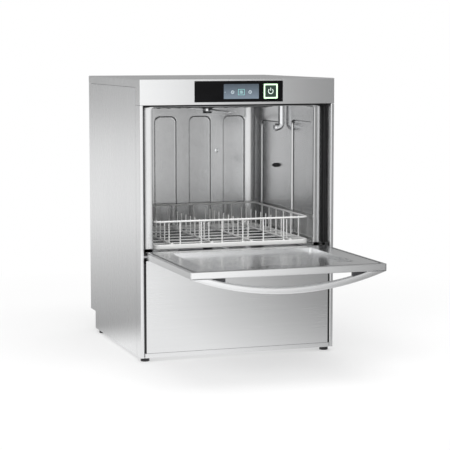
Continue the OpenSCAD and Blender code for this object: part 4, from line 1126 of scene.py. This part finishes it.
class WASHER_OT_stage(bpy.types.Operator):
    """Lay the white floor, and set the lights and the camera"""

    bl_idname = "washer.stage"
    bl_label = "Stage"

    def execute(self, context):
        sizes = context.scene.stage_sizes
        scene = context.scene
        surround(sizes)

        floor = Shape().grid([[(-14, -14, 0), (14, -14, 0)], [(-14, 14, 0), (14, 14, 0)]])
        mesh = floor.mesh("floor")
        ground = linked("floor", mesh)
        mesh.materials.append(floor_white())
        card()

        lamp("key", (-2.6, -3.4, 3.4), (0.0, 0.0, 0.45), (2.6, 2.2), 95)
        lamp("top", (0.2, -0.6, 4.2), (0.0, 0.0, 0.5), (3.0, 3.0), 70)
        lamp("fill", (3.6, -2.0, 1.6), (0.0, -0.2, 0.4), (1.6, 2.2), 22)

        eye = bpy.data.cameras.new("camera")
        eye.lens = sizes.lens
        eye.sensor_width = 36.0
        camera = linked("camera", eye)
        turn = Matrix.Rotation(-sizes.yaw, 4, "Z") @ Matrix.Rotation(pi / 2 - sizes.pitch, 4, "X")
        camera.matrix_world = Matrix.Translation(sizes.eye) @ turn
        scene.camera = camera
        scene.view_settings.view_transform = "Standard"
        scene.view_settings.look = "None"
        return {"FINISHED"}


def floor_white():
    """The floor: matt under the machine, where its shadow falls, and plain white further off.
    Reflections see it darker towards the right, as a studio floor between two walls."""
    made = bpy.data.materials.new("floor_white")
    made.use_nodes = True
    net = Net(made.node_tree)
    spot = net.place()
    reach = net.node("ShaderNodeVectorMath", {"operation": "LENGTH"}, (spot,), out=1)
    far = ((reach - 0.75) / 0.9).clamped()
    matt = net.node("ShaderNodeBsdfDiffuse", {}, (rgba((0.84, 0.84, 0.84)),))
    white = net.node("ShaderNodeEmission", {}, (WHITE, 1.0))
    path = net.node("ShaderNodeLightPath")
    gloss = Value(net, path.socket.node.outputs["Is Glossy Ray"])
    across, deep = (net.axis(spot, n) for n in range(2))
    front = net.ramp([(0.0, 1.0), (0.30, 1.0), (0.50, 0.62), (0.70, 0.26), (1.0, 0.22)],
                     (across + 0.6) / 1.8)
    rear = (deep - 0.4) / 3.2
    shade = net.node("ShaderNodeMix", {}, {0: (deep * 3.0).clamped(), 2: front,
                                           3: rear.clamped() * 0.55 + 0.42})
    mirror = net.node("ShaderNodeEmission", {}, (WHITE, shade))
    seen = net.node("ShaderNodeMixShader", {}, (far * 0.55 + 0.45, matt, white))
    last = net.node("ShaderNodeMixShader", {}, (gloss, seen, mirror))
    net.node("ShaderNodeOutputMaterial", {}, {"Surface": last})
    return made


def card():
    """A lit wall in front that only reflections see: white at the left, grey at the right."""
    shape = Shape().grid([[(-3.2, -1.75, 0.0), (4.2, -1.75, 0.0)], [(-3.2, -1.75, 2.3), (4.2, -1.75, 2.3)]])
    mesh = shape.mesh("card")
    obj = linked("card", mesh)
    made = bpy.data.materials.new("card")
    made.use_nodes = True
    net = Net(made.node_tree)
    stops = [(0.0, 0.80), (0.40, 1.0), (0.45, 1.0), (0.50, 0.55), (0.545, 0.24), (1.0, 0.30)]
    tone = net.ramp(stops, (net.axis(net.place(), 0) + 3.2) / 7.4)
    net.node("ShaderNodeOutputMaterial", {},
             {"Surface": net.node("ShaderNodeEmission", {}, (tone, 1.25))})
    mesh.materials.append(made)
    for kind in ("camera", "diffuse", "transmission", "volume_scatter", "shadow"):
        setattr(obj, "visible_" + kind, False)


# ---- add-on ----

STEPS = [
    WASHER_OT_casing,
    WASHER_OT_chamber,
    WASHER_OT_seal,
    WASHER_OT_rack,
    WASHER_OT_handle,
    WASHER_OT_pipes,
    WASHER_OT_arms,
    WASHER_OT_springs,
    WASHER_OT_display,
    WASHER_OT_stage,
]


class WASHER_PT_panel(bpy.types.Panel):
    bl_label = "Warewasher"
    bl_idname = "WASHER_PT_panel"
    bl_space_type = "VIEW_3D"
    bl_region_type = "UI"
    bl_category = "Warewasher"

    def draw(self, context):
        for group in ("washer_sizes", "washer_colours", "stage_sizes"):
            box = self.layout.box()
            holder = getattr(context.scene, group)
            for key in holder.__annotations__:
                box.prop(holder, key)
        for step in STEPS:
            self.layout.operator(step.bl_idname)


GROUPS = {"washer_sizes": WasherSizes, "washer_colours": WasherColours, "stage_sizes": StageSizes}


def register():
    for cls in (*GROUPS.values(), *STEPS, WASHER_PT_panel):
        bpy.utils.register_class(cls)
    for name, cls in GROUPS.items():
        setattr(bpy.types.Scene, name, bpy.props.PointerProperty(type=cls))


def unregister():
    for name in GROUPS:
        delattr(bpy.types.Scene, name)
    for cls in reversed((*GROUPS.values(), *STEPS, WASHER_PT_panel)):
        bpy.utils.unregister_class(cls)


def main():
    register()
    for step in STEPS:
        space, name = step.bl_idname.split(".")
        getattr(getattr(bpy.ops, space), name)()


if __name__ == "__main__":
    main()
